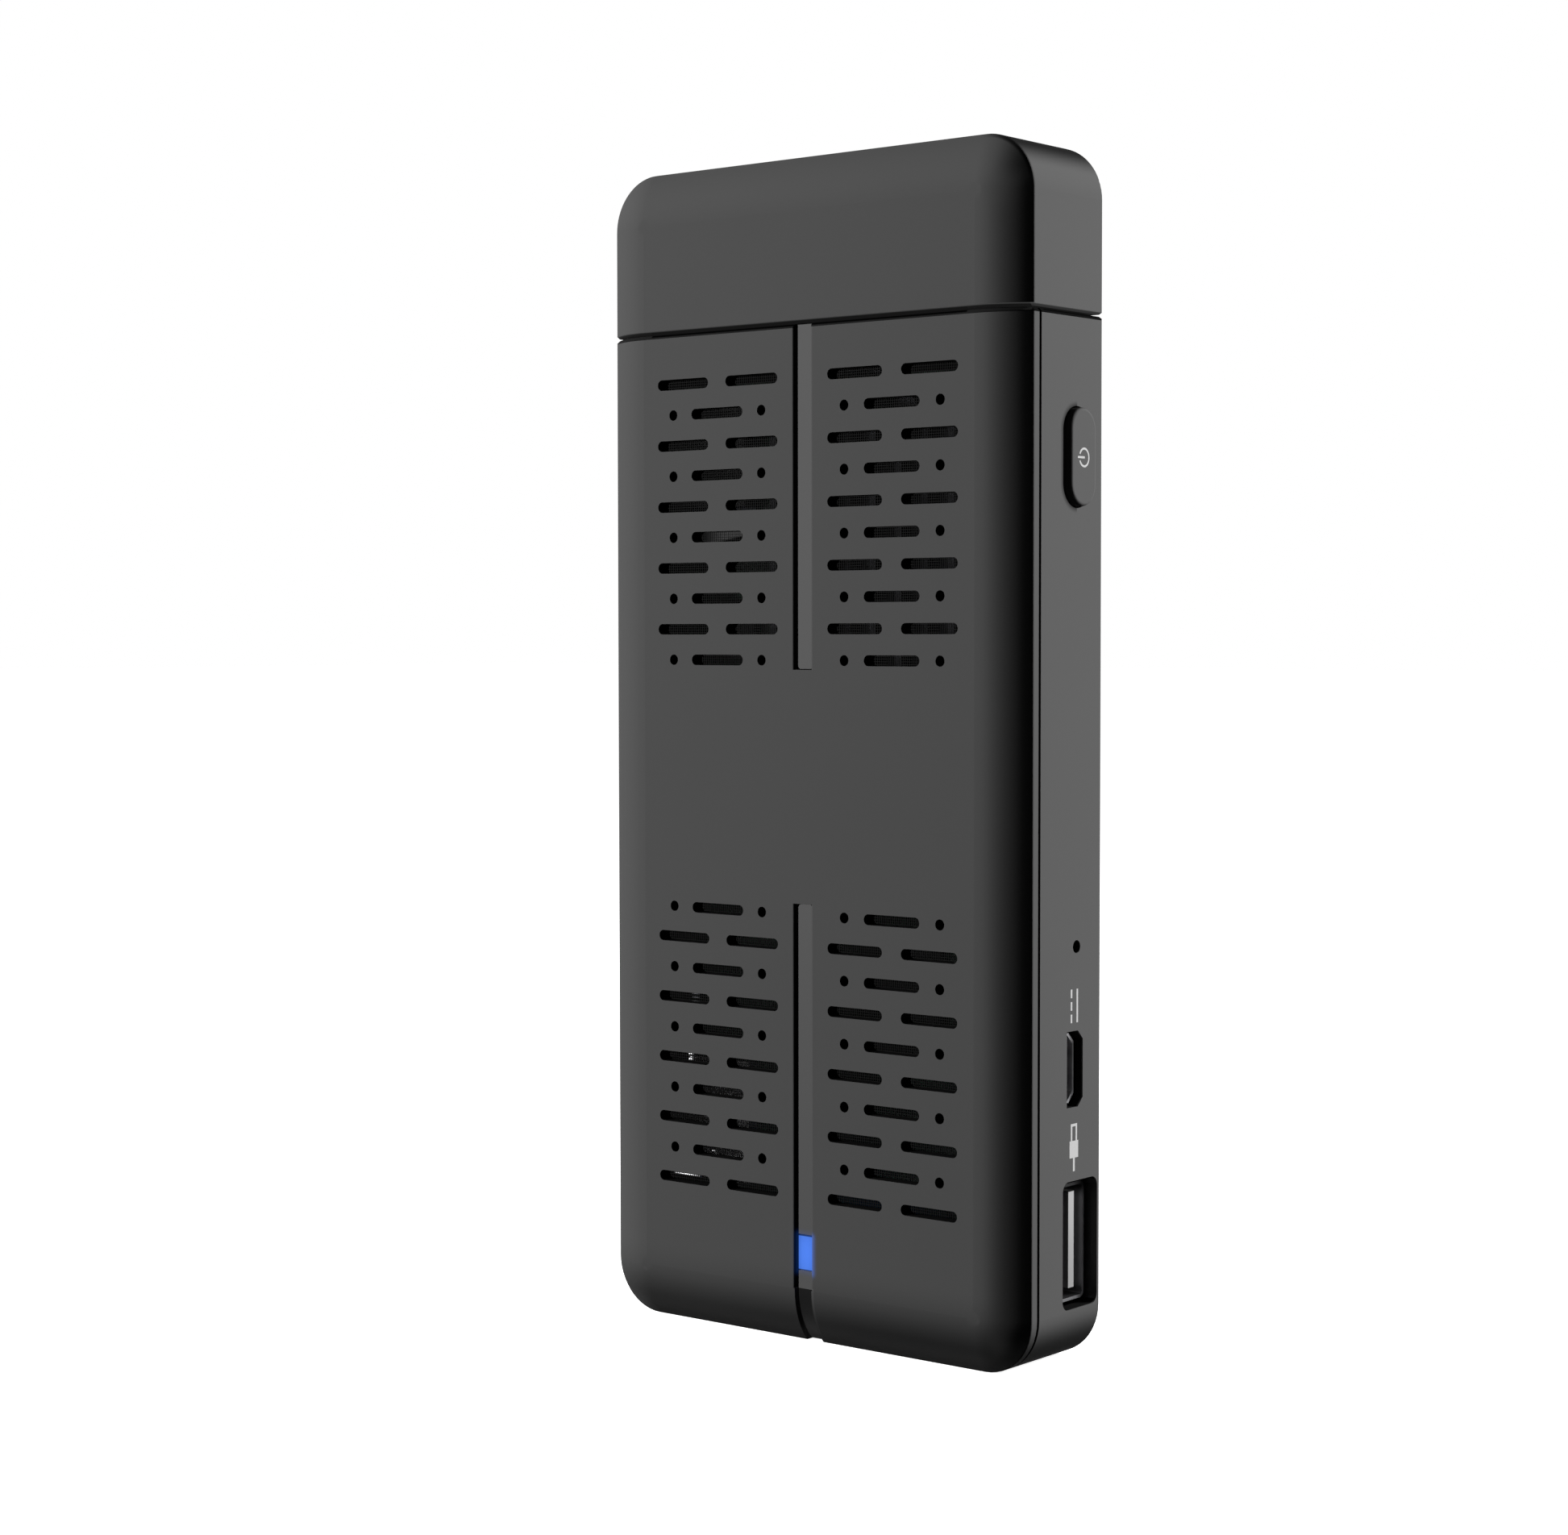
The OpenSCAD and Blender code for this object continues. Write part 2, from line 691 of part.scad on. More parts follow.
module channels() {
  intersection() {
    front_band(channel_w, -past, channel_depth);
    through_front(-past, parting_d) union() {
      upper_outline(0);
      lower_outline(0);
    }
  }
  translate([0, 0, upper_channel_z]) linear_extrude(upper_channel_l + past) channel_flare();
  translate([0, 0, corner_r]) linear_extrude(lower_channel_z - corner_r) channel_flare();
  block([-stem_w / 2 - fit, stem_w / 2 + fit], [0, wall + past],
    [window_z - stem_l / 2 - fit, window_z + stem_l / 2 + fit]);
}

// Snap tabs of the front cover, or the pockets they need in the rear cover
module snap_tabs(clear) {
  for (side = [0, 1], z = tab_places) mirror([side, 0, 0]) {
    tab_x = inner_x - fit;
    end_d = parting_d + tab_reach;
    half = tab_l / 2 + clear;
    block([tab_x - tab_t - clear, tab_x + clear], [wall, end_d], [z - half, z + half]);
    block([tab_x - tab_t - clear, tab_x + hook + clear], [end_d - tab_t - clear, end_d + clear],
      [z - half, z + half]);
  }
}

module front_cover() {
  color(case_grey) in_case() difference() {
    union() {
      difference() {
        body_shell(-past, front_rim_d);
        difference() {
          rim_band(lip_inset - fit, lip_top_d, parting_d);
          foot_region(0);
        }
      }
      snap_tabs(0);
      for (s = [-1, 1]) translate([s * post_x, 0, post_z]) rotate([-90, 0, 0])
        translate([0, 0, wall - fit]) cylinder(h = board_front_d - wall + fit, d = post_d);
    }
    through_front(-past, wall + past) union() {
      translate([0, upper_vent_z]) vent_block(true);
      translate([0, lower_vent_z]) vent_block(false);
    }
    channels();
  }
}

// Outline of the micro-USB shell, drawn in depth and z
module micro_outline(grow) {
  rotate(90) mirror([0, 1]) slanted_rect(micro_w + 2 * grow, micro_h + 2 * grow, micro_slant);
}

// Cut-outs of the side walls for the sockets, the button, the pinhole and the card
module side_cuts() {
  through_side(inner_x - fit, side_x + past) {
    translate([usb_d, usb_z]) rounded_rect(usb_h + 2 * usb_clear, usb_w + 2 * usb_clear, usb_cut_r);
    translate([micro_d, micro_z]) micro_outline(micro_clear);
    translate([button_d, button_z]) rotate(90)
      stadium(button_l + 2 * button_fit, button_w + 2 * button_fit);
  }
  translate([inner_x - past, reset_d, pinhole_z]) rotate([0, 90, 0])
    cylinder(h = wall + 2 * past, d = pinhole_d);
  through_side(-side_x - past, fit - inner_x) translate([card_d, card_z])
    square([card_slot_h + 2 * card_clear, card_slot_w + 2 * card_clear], center = true);
}

module rear_cover() {
  color(case_grey) in_case() {
    difference() {
      union() {
        body_shell(rear_rim_d, case_t + past);
        difference() {
          rim_band(lip_inset, lip_top_d, rear_rim_d + past);
          foot_region(fit);
        }
        for (place = screw_places) translate([place[0], board_back_d, place[1]]) rotate([-90, 0, 0])
          cylinder(h = inner_back - board_back_d + back_wall / 2, d = boss_d);
      }
      side_cuts();
      snap_tabs(fit);
      for (place = screw_places) translate([place[0], board_back_d - past, place[1]]) rotate([-90, 0, 0])
        cylinder(h = screw_l + past, d = screw_d + fit);
    }
  }
}

module cap() {
  color(case_grey) in_case() translate([0, 0, total_l]) mirror([0, 0, 1]) difference() {
    outer_form(cap_l);
    rounded_form(wall, back_wall, cap_l + past);
  }
}

// Outline of the HDMI plug, drawn in x and depth
module hdmi_outline(grow) {
  translate([0, plug_d]) slanted_rect(hdmi_w + 2 * grow, hdmi_h + 2 * grow, hdmi_slant);
}

module end_plate() {
  color([0.22, 0.22, 0.22]) in_case() translate([0, 0, body_l - plate_t]) difference() {
    linear_extrude(plate_t + neck_l) case_section(wall + cap_fit, back_wall + cap_fit);
    translate([0, 0, plate_t]) linear_extrude(neck_l + past)
      case_section(wall + cap_fit + neck_wall, back_wall + cap_fit + neck_wall);
    translate([0, 0, -past]) linear_extrude(plate_t + 2 * past) hdmi_outline(fit);
  }
}

module upper_strip() {
  color([0.37, 0.37, 0.37]) in_case() intersection() {
    front_band(strip_w, strip_recess, channel_depth - seat);
    through_front(0, parting_d) upper_outline(strip_fit);
    block([-strip_w, strip_w], [0, parting_d], [0, body_l - seat]);
  }
}

module lower_strip() {
  color([0.34, 0.34, 0.34]) in_case() difference() {
    intersection() {
      front_band(strip_w, strip_recess, channel_depth - seat);
      through_front(0, parting_d) lower_outline(strip_fit);
      block([-strip_w, strip_w], [0, parting_d], [corner_r, body_l]);
    }
    block([-strip_w, strip_w], [0, parting_d],
      [window_z - window_l / 2 - strip_fit, window_z + window_l / 2 + strip_fit]);
  }
}

module foot_strip() {
  color([0.12, 0.12, 0.12]) in_case() intersection() {
    front_band(strip_w, strip_recess, channel_depth - seat);
    block([-strip_w, strip_w], [0, parting_d], [fit, corner_r - seat]);
  }
}

module led_window() {
  color([0.32, 0.51, 0.95]) in_case() {
    block([-strip_w / 2, strip_w / 2], [strip_recess, channel_depth - seat],
      [window_z - window_l / 2, window_z + window_l / 2]);
    block([-stem_w / 2, stem_w / 2], [strip_recess + strip_t / 2, status_led_d - seat],
      [window_z - stem_l / 2, window_z + stem_l / 2]);
  }
}

module status_led() {
  color([0.9, 0.9, 0.85]) in_case() block([-stem_w / 2, stem_w / 2], [status_led_d, board_front_d],
    [window_z - stem_w / 4, window_z + stem_w / 4]);
}

// Dust screen behind one block of vents, its top row at height z
module dust_screen(z) {
  color([0.12, 0.12, 0.12]) in_case() through_front(wall, mesh_back_d)
    translate([0, z - block_l / 2]) rounded_rect(mesh_w, mesh_l, mesh_margin);
}

module upper_mesh() {
  dust_screen(upper_vent_z);
}

module lower_mesh() {
  dust_screen(lower_vent_z);
}

// Button cap seen from its side: a section drawn outwards, with its rim rounded
module button_section() {
  half = button_w / 2;
  rise = side_x + button_rise - inner_x;
  square([half - button_r, rise]);
  square([half, rise - button_r]);
  translate([half - button_r, rise - button_r]) circle(button_r);
}

module power_button() {
  reach = (button_l - button_w) / 2;
  color(case_grey) in_case() translate([0, button_d, button_z]) {
    translate([inner_x, 0, 0]) rotate([0, 90, 0]) {
      for (s = [0, 1]) mirror([s, 0, 0]) translate([reach, 0, 0]) rotate([0, 0, -90])
        rotate_extrude(angle = 180) button_section();
      for (s = [0, 1]) mirror([0, s, 0]) rotate([90, 0, 90]) translate([0, 0, -reach])
        linear_extrude(2 * reach) button_section();
    }
    through_side(inner_x - flange_t, inner_x) rotate(90)
      stadium(button_l + 2 * flange_reach, button_w);
    translate([nub_x, 0, 0]) rotate([0, 90, 0]) cylinder(h = nub_l + flange_t / 2, d = plunger_d);
  }
}

// Side-push switch on the back of the board, with the bore of its plunger
module switch_body(face_x, h, z, travel) {
  color(chip_black) in_case() difference() {
    block([face_x - switch_depth, face_x], [board_back_d, board_back_d + h],
      [z - switch_l / 2, z + switch_l / 2]);
    translate([face_x - plunger_seat - travel - plunger_fit, board_back_d + h / 2, z]) rotate([0, 90, 0])
      cylinder(h = switch_depth, d = plunger_d + 2 * plunger_fit);
  }
}

module switch_plunger(face_x, h, z) {
  color([0.55, 0.5, 0.42]) in_case() translate([face_x - plunger_seat, board_back_d + h / 2, z])
    rotate([0, 90, 0]) cylinder(h = plunger_seat + plunger_out, d = plunger_d);
}

module power_switch() {
  switch_body(power_face_x, power_switch_h, button_z, button_travel);
}

module power_plunger() {
  switch_plunger(power_face_x, power_switch_h, button_z);
}

module reset_switch() {
  switch_body(reset_face_x, reset_switch_h, pinhole_z, reset_travel);
}

module reset_plunger() {
  switch_plunger(reset_face_x, reset_switch_h, pinhole_z);
}

module main_board() {
  color([0.05, 0.2, 0.12]) in_case() difference() {
    through_front(board_front_d, board_back_d) translate([0, board_z + board_l / 2])
      rounded_rect(board_w, board_l, board_r);
    for (place = screw_places) translate([place[0], board_front_d - past, place[1]]) rotate([-90, 0, 0])
      cylinder(h = board_t + 2 * past, d = screw_d + 2 * fit);
  }
}

module board_screws() {
  color(tin) in_case() for (place = screw_places)
    translate([place[0], board_front_d - head_h, place[1]]) rotate([-90, 0, 0]) {
      cylinder(h = head_h, d = head_d);
      cylinder(h = head_h + board_t + screw_l - 4 * fit, d = screw_d);
    }
}

// Flat part on the front of the board
module front_chip(x, z, w, l, h) {
  block([x - w / 2, x + w / 2], [board_front_d - h, board_front_d], [z - l / 2, z + l / 2]);
}

module processor() {
  color(chip_black) in_case() front_chip(chip_x, chip_z, chip_w, chip_w, chip_h);
}

module thermal_pad() {
  color([0.55, 0.6, 0.65]) in_case() translate([0, -chip_h, 0])
    front_chip(chip_x, chip_z, chip_w, chip_w, pad_t);
}

module heat_sink() {
  fin_step = (sink_w - fin_t) / (fin_n - 1);
  color([0.35, 0.36, 0.38]) in_case() {
    block([chip_x - sink_w / 2, chip_x + sink_w / 2], [sink_front_d, sink_back_d],
      [chip_z - sink_l / 2, chip_z + sink_l / 2]);
    for (fin = [0:fin_n - 1]) translate([chip_x - sink_w / 2 + fin * fin_step, 0, 0])
      block([0, fin_t], [fin_front_d, sink_front_d + sink_base / 2],
        [chip_z - sink_l / 2, chip_z + sink_l / 2]);
  }
}

module memory_chips() {
  color(chip_black) in_case() for (s = [-1, 1], t = [-1, 1])
    translate([s * memory_step / 2, board_back_d + low_chip_h / 2, chip_z + t * memory_l])
      cube([memory_w, low_chip_h, memory_l], center = true);
}

module storage_chip() {
  color(chip_black) in_case() front_chip(storage_x, storage_z, storage_w, storage_l, low_chip_h);
}

module power_chip() {
  color(chip_black) in_case() front_chip(-power_chip_x, power_chip_z, power_chip_w, power_chip_w, low_chip_h);
}

module inductors() {
  color([0.3, 0.3, 0.32]) in_case() for (k = [0:coil_n - 1])
    front_chip(-screw_x + k * coil_step, coil_z, coil_w, coil_w, coil_h);
}

module capacitors() {
  color([0.6, 0.5, 0.4]) in_case() for (k = [0:cap_chip_n - 1])
    front_chip(-screw_x + k * cap_chip_step, cap_chip_z, cap_chip_l / 2, cap_chip_l, cap_chip_l / 2);
}

module crystal() {
  color(tin) in_case() front_chip(-crystal_x, storage_z, crystal_w, crystal_l, low_chip_h);
}

module wireless_module() {
  color([0.05, 0.15, 0.3]) in_case() front_chip(-radio_x, radio_z, radio_w, radio_l, radio_board_t);
}

module wireless_shield() {
  w = radio_w - 4 * shield_sheet;
  l = radio_l - 4 * shield_sheet;
  color(tin) in_case() translate([0, -radio_board_t, 0]) difference() {
    front_chip(-radio_x, radio_z, w, l, shield_h);
    translate([0, past, 0])
      front_chip(-radio_x, radio_z, w - 2 * shield_sheet, l - 2 * shield_sheet, shield_h + past - shield_sheet);
  }
}

module antenna() {
  color([0.25, 0.2, 0.1]) in_case() block([-inner_x, antenna_t - inner_x],
    [antenna_front_d, antenna_front_d + antenna_w], [antenna_z, antenna_z + antenna_l]);
}

module antenna_plug() {
  color(gold) in_case() translate([-lead_plug_x, board_front_d - lead_plug_h, lead_plug_z])
    rotate([-90, 0, 0]) cylinder(h = lead_plug_h, d = lead_plug_d);
}

// Tube along a path in x and z; each stop gives a place and a heading
module tube(stops, r) {
  last = (len(stops) - 1) * tube_sides;
  points = [for (stop = stops, k = [0:tube_sides - 1]) let (a = 360 * k / tube_sides)
    [stop[0] - r * cos(a) * sin(stop[2]), r * sin(a), stop[1] + r * cos(a) * cos(stop[2])]];
  walls = [for (ring = [0:tube_sides:last - 1], k = [0:tube_sides - 1]) let (next = (k + 1) % tube_sides)
    [ring + k, ring + next, ring + tube_sides + next, ring + tube_sides + k]];
  start_face = [for (k = [tube_sides - 1:-1:0]) k];
  end_face = [for (k = [0:tube_sides - 1]) last + k];
  polyhedron(points, concat([start_face], walls, [end_face]));
}

// The lead leaves its plug sloping down to the left, bends and runs down to the antenna
module antenna_lead() {
  start = [-lead_plug_x - lead_plug_d / 2 * cos(lead_slope), lead_plug_z - lead_plug_d / 2 * sin(lead_slope)];
  turn = 90 - lead_slope;
  bend_x = lead_down_x + lead_bend;
  run = (start[0] - bend_x + lead_bend * sin(lead_slope)) / cos(lead_slope);
  bend_z = start[1] - run * sin(lead_slope) - lead_bend * cos(lead_slope);
  end_z = antenna_z + antenna_l - lead_bend;
  bend = [for (k = [0:bend_steps]) let (a = 90 + lead_slope + turn * k / bend_steps)
    [bend_x + lead_bend * cos(a), bend_z + lead_bend * sin(a), a + 90]];
  color([0.2, 0.2, 0.2]) in_case() translate([0, lead_d_mid, 0])
    tube(concat([[start[0], start[1], 180 + lead_slope]], bend, [[lead_down_x, end_z, 270]]), lead_d / 2);
}

module hdmi_shell() {
  latch_z = plug_tip_z - hdmi_latch_top - hdmi_latch_l / 2;
  color(tin) in_case() difference() {
    translate([0, 0, board_top_z]) linear_extrude(plug_tip_z - board_top_z) difference() {
      hdmi_outline(0);
      hdmi_outline(-hdmi_sheet);
    }
    through_front(plug_d - hdmi_h, plug_d + hdmi_h) for (s = [-1, 1])
      translate([s * hdmi_latch_x, latch_z]) square([hdmi_latch_w, hdmi_latch_l], center = true);
  }
}

// One row of plug contacts in front of (-1) or behind (1) the middle
module hdmi_row(side, count) {
  d0 = side < 0 ? board_front_d - pin_t : board_back_d;
  for (k = [0:count - 1]) {
    x = (k - (count - 1) / 2) * hdmi_pitch;
    block([x - pin_w / 2, x + pin_w / 2], [d0, d0 + pin_t],
      [board_top_z - hdmi_tail_l, plug_tip_z - hdmi_setback - pin_w]);
  }
}

module hdmi_pins() {
  hdmi_row(-1, hdmi_contacts_n);
  hdmi_row(1, hdmi_contacts_n - 1);
}

module hdmi_contacts() {
  color(gold) in_case() hdmi_pins();
}

module hdmi_insert() {
  slot_z = plug_tip_z - hdmi_setback - hdmi_slot_l;
  color(chip_black) in_case() difference() {
    translate([0, 0, board_top_z]) linear_extrude(plug_tip_z - hdmi_setback - board_top_z)
      hdmi_outline(-hdmi_sheet);
    block([-hdmi_slot_w / 2, hdmi_slot_w / 2], [plug_d - hdmi_slot_h / 2, plug_d + hdmi_slot_h / 2],
      [slot_z, plug_tip_z]);
    hdmi_pins();
  }
}

module usb_shell() {
  color(tin) in_case() through_side(usb_mouth_x - usb_l, usb_mouth_x) translate([usb_d, usb_z]) difference() {
    rounded_rect(usb_h, usb_w, usb_r);
    rounded_rect(usb_h - 2 * usb_sheet, usb_w - 2 * usb_sheet, usb_r - usb_sheet);
  }
}

module usb_tongue() {
  block_x = usb_mouth_x - usb_l;
  color([0.85, 0.85, 0.84]) in_case() {
    block([block_x, block_x + usb_block_l], [usb_d - usb_h / 2 + usb_sheet, usb_d + usb_h / 2 - usb_sheet],
      [usb_z - usb_w / 2 + usb_r, usb_z + usb_w / 2 - usb_r]);
    block([block_x, usb_mouth_x - usb_tongue_setback],
      [usb_tongue_d - usb_tongue_t / 2, usb_tongue_d + usb_tongue_t / 2],
      [usb_z - usb_tongue_w / 2, usb_z + usb_tongue_w / 2]);
  }
}

module usb_contacts() {
  color(gold) in_case() for (z = usb_pin_z)
    block([usb_mouth_x - usb_l + usb_block_l, usb_mouth_x - usb_tongue_setback - usb_pin_w],
      [usb_tongue_d - usb_tongue_t / 2 - pin_t, usb_tongue_d - usb_tongue_t / 2],
      [usb_z + z - usb_pin_w / 2, usb_z + z + usb_pin_w / 2]);
}

module micro_usb_shell() {
  foot_x = micro_mouth_x - micro_l;
  foot_z = micro_w / 2 - micro_slant - micro_foot_w;
  color(tin) in_case() {
    through_side(foot_x, micro_mouth_x) translate([micro_d, micro_z]) difference() {
      micro_outline(0);
      micro_outline(-micro_sheet);
    }
    for (s = [-1, 1], x = [foot_x, foot_x + 2 * micro_foot_w])
      translate([0, 0, micro_z + s * (foot_z + micro_foot_w / 2)])
        block([x, x + micro_foot_w], [board_back_d, board_back_d + micro_foot_h + micro_sheet / 2],
          [-micro_foot_w / 2, micro_foot_w / 2]);
  }
}

module micro_usb_tongue() {
  block_x = micro_mouth_x - micro_l;
  color(chip_black) in_case() {
    through_side(block_x, block_x + micro_block_l) translate([micro_d, micro_z]) micro_outline(-micro_sheet);
    block([block_x, micro_mouth_x - micro_sheet], [micro_d - micro_tongue_t / 2, micro_d + micro_tongue_t / 2],
      [micro_z - micro_tongue_w / 2, micro_z + micro_tongue_w / 2]);
  }
}

module micro_usb_contacts() {
  color(gold) in_case() for (k = [0:micro_pin_n - 1]) {
    z = micro_z + (k - (micro_pin_n - 1) / 2) * micro_pitch;
    block([micro_mouth_x - micro_l + micro_block_l, micro_mouth_x - 2 * micro_sheet],
      [micro_d - micro_tongue_t / 2 - pin_t, micro_d - micro_tongue_t / 2],
      [z - pin_w / 2, z + pin_w / 2]);
  }
}

module card_socket() {
  color(tin) in_case() difference() {
    block([card_mouth_x, card_mouth_x + card_l], [board_front_d - card_h, board_front_d],
      [card_z - card_w / 2, card_z + card_w / 2]);
    block([card_mouth_x - past, card_mouth_x + card_l - past],
      [card_d - card_slot_h / 2, card_d + card_slot_h / 2],
      [card_z - card_slot_w / 2, card_z + card_slot_w / 2]);
  }
}

front_cover();
rear_cover();
cap();
end_plate();
upper_strip();
lower_strip();
foot_strip();
led_window();
upper_mesh();
lower_mesh();
power_button();
main_board();
board_screws();
processor();
thermal_pad();
heat_sink();
memory_chips();
storage_chip();
power_chip();
inductors();
capacitors();
crystal();
wireless_module();
wireless_shield();
antenna();
antenna_plug();
antenna_lead();
status_led();
power_switch();
power_plunger();
reset_switch();
reset_plunger();
hdmi_shell();
hdmi_insert();
hdmi_contacts();
usb_shell();
usb_tongue();
usb_contacts();
micro_usb_shell();
micro_usb_tongue();
micro_usb_contacts();
card_socket();
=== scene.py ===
import math

import bmesh
import bpy
from mathutils import Matrix, Vector


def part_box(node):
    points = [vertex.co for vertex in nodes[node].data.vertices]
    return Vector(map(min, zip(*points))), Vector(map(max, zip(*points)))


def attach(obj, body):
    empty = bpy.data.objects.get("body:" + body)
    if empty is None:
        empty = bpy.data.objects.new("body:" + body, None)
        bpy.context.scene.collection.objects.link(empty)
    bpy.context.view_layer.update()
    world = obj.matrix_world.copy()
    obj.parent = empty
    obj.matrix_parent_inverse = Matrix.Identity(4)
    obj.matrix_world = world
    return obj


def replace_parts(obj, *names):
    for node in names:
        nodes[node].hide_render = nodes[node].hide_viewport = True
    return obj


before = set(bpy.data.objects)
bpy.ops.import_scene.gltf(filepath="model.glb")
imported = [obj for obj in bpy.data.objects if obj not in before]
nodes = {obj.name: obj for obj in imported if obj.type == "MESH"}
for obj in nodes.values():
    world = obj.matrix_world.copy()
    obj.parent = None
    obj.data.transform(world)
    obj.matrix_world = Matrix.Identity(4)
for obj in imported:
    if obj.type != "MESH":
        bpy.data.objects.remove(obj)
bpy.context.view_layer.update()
scene = bpy.context.scene
mm = 0.001
print("frame loaded:", len(nodes), "nodes")


class Wire:  # one socket of a node tree, with its maths written as operators
    def __init__(self, bench, socket):
        self.bench = bench
        self.socket = socket

    def __add__(self, other):
        return self.bench.maths("ADD", self, other)

    def __sub__(self, other):
        return self.bench.maths("SUBTRACT", self, other)

    def __rsub__(self, other):
        return self.bench.maths("SUBTRACT", other, self)

    def __mul__(self, other):
        return self.bench.maths("MULTIPLY", self, other)

    def __truediv__(self, other):
        return self.bench.maths("DIVIDE", self, other)

    def __gt__(self, other):
        return self.bench.maths("GREATER_THAN", self, other)

    def __lt__(self, other):
        return self.bench.maths("LESS_THAN", self, other)

    def __pow__(self, other):
        return self.bench.maths("POWER", self, other)

    __radd__ = __add__
    __rmul__ = __mul__


class Bench:  # adds nodes to one tree
    def __init__(self, tree):
        self.tree = tree

    def node(self, kind, settings=None, values=None, out=0):
        made = self.tree.nodes.new(kind)
        for key, value in (settings or {}).items():
            setattr(made, key, value)
        for key, value in (values or {}).items():
            self.feed(made.inputs[key], value)
        return Wire(self, made.outputs[out])

    def feed(self, socket, value):
        if isinstance(value, Wire):
            self.tree.links.new(value.socket, socket)
        else:
            socket.default_value = value

    def maths(self, kind, first, second=0.0):
        return self.node("ShaderNodeMath", {"operation": kind}, {0: first, 1: second})

    def vectors(self, kind, first, second=(0, 0, 0)):
        return self.node("ShaderNodeVectorMath", {"operation": kind}, {0: first, 1: second})

    def place(self):
        return self.node("ShaderNodeTexCoord", out="Object")

    def axes(self):
        split = self.tree.nodes.new("ShaderNodeSeparateXYZ")
        self.feed(split.inputs[0], self.place())
        return [Wire(self, axis) for axis in split.outputs]

    def noise(self, size, detail=2.0, stretch=(1, 1, 1)):  # size of a fleck in metres
        spot = self.node("ShaderNodeMapping", {}, {"Vector": self.place(), "Scale": stretch})
        values = {"Vector": spot, "Scale": 1 / size, "Detail": detail}
        return self.node("ShaderNodeTexNoise", {}, values, "Fac")

    def size(self, value):
        return self.maths("ABSOLUTE", value)

    def past(self, value, limit):  # how far the size of a value goes past a limit
        return self.maths("MAXIMUM", self.size(value) - limit, 0.0)

    def reach(self, across, along):
        return (across * across + along * along) ** 0.5

    def ramp(self, value, low, high):  # 0 below low, 1 above high
        smooth = {"interpolation_type": "SMOOTHSTEP"}
        return self.node("ShaderNodeMapRange", smooth, {0: value, 1: low, 2: high})

    def fall(self, value, low, high):  # 1 below low, 0 above high
        return 1 - self.ramp(value, low, high)

    def tinted(self, colour, tone):
        return self.node("ShaderNodeVectorMath", {"operation": "SCALE"}, {0: colour, "Scale": tone})

    def mixed(self, share, first, second):  # of two colours
        return self.node("ShaderNodeMix", {"data_type": "RGBA"}, {0: share, 6: first, 7: second}, 2)

    def between(self, share, first, second):  # of two directions
        return self.node("ShaderNodeMix", {"data_type": "VECTOR"}, {0: share, 4: first, 5: second}, 1)


def grey(level):
    return (level, level, level)


def newFinish(name, fixed=None):
    material = bpy.data.materials.new(name)
    material.use_nodes = True
    bench = Bench(material.node_tree)
    bench.material = material
    bench.shader = material.node_tree.nodes["Principled BSDF"]
    for key, value in (fixed or {}).items():
        bench.shader.inputs[key].default_value = value
    return bench


def surface(bench, colour, roughness, height, lift, normal=None):
    inputs = bench.shader.inputs
    bench.feed(inputs["Base Color"], colour)
    bench.feed(inputs["Roughness"], roughness)
    relief = {"Strength": 1.0, "Distance": lift, "Height": height}
    if normal:
        relief["Normal"] = normal
    bench.feed(inputs["Normal"], bench.node("ShaderNodeBump", {}, relief))
    return bench.material


def glowing(bench, colour):
    bench.shader.inputs["Emission Strength"].default_value = 1.0
    bench.feed(bench.shader.inputs["Emission Color"], colour)


# the front edge turns more sharply to the eye than its arc does, but less so where its corners meet
# the flat and at the right corner of the foot
edgeTurn = {"gain": (1.65, 1, 1.65), "cornerX": 23.9 * mm, "cornerZ": (6.3 * mm, 129.3 * mm),
            "calm": (0.4 * mm, 1.1 * mm),
            "footX": (23 * mm, 27 * mm), "footZ": (2.6 * mm, 5.2 * mm), "foot": 0.38}


def turnedEdges(bench):
    x, y, z = bench.axes()
    normal = bench.node("ShaderNodeNewGeometry", out="Normal")
    steep = bench.vectors("MULTIPLY", normal, edgeTurn["gain"])
    foot = bench.ramp(x, *edgeTurn["footX"]) * bench.fall(z, *edgeTurn["footZ"]) * edgeTurn["foot"]
    across = bench.size(x) - edgeTurn["cornerX"]
    ends = [bench.size(z - end) for end in edgeTurn["cornerZ"]]
    along = bench.maths("MINIMUM", *ends)
    calm = bench.fall(bench.reach(across, along), *edgeTurn["calm"]) * (y < 0)
    level = bench.between(calm, bench.between(foot, steep, normal), (0, -1, 0))
    return bench.vectors("NORMALIZE", level)


# the blue that the lit window spills on what lies round it
windowLow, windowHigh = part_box("led_window")
windowMiddle = (windowLow + windowHigh) / 2
windowHalf = (windowHigh - windowLow) / 2
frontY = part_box("front_cover")[0].y
spill = {"colour": (0.014, 0.07, 0.34), "reach": 1.1 * mm, "halfX": 1.2 * mm,
         "edge": 0.05, "wall": 0.11, "strip": 0.15}


def blueSpill(bench, share):
    x, y, z = bench.axes()
    across = bench.past(x, spill["halfX"])
    along = bench.past(z - windowMiddle.z, windowHalf.z)
    near = bench.fall(bench.reach(across, along), 0.0, spill["reach"])
    return bench.tinted(spill["colour"], near * near * share * (y < 0))


def stripGlow(bench):
    glowing(bench, blueSpill(bench, spill["strip"]))


# light that reaches the bevel of the cap in the groove under it, more on the sides
grooveLift = {"z": (116.5 * mm, 117 * mm), "rise": 116.84 * mm, "low": 0.0075, "high": 0.045,
              "sideX": 29.8 * mm, "side": 0.022}
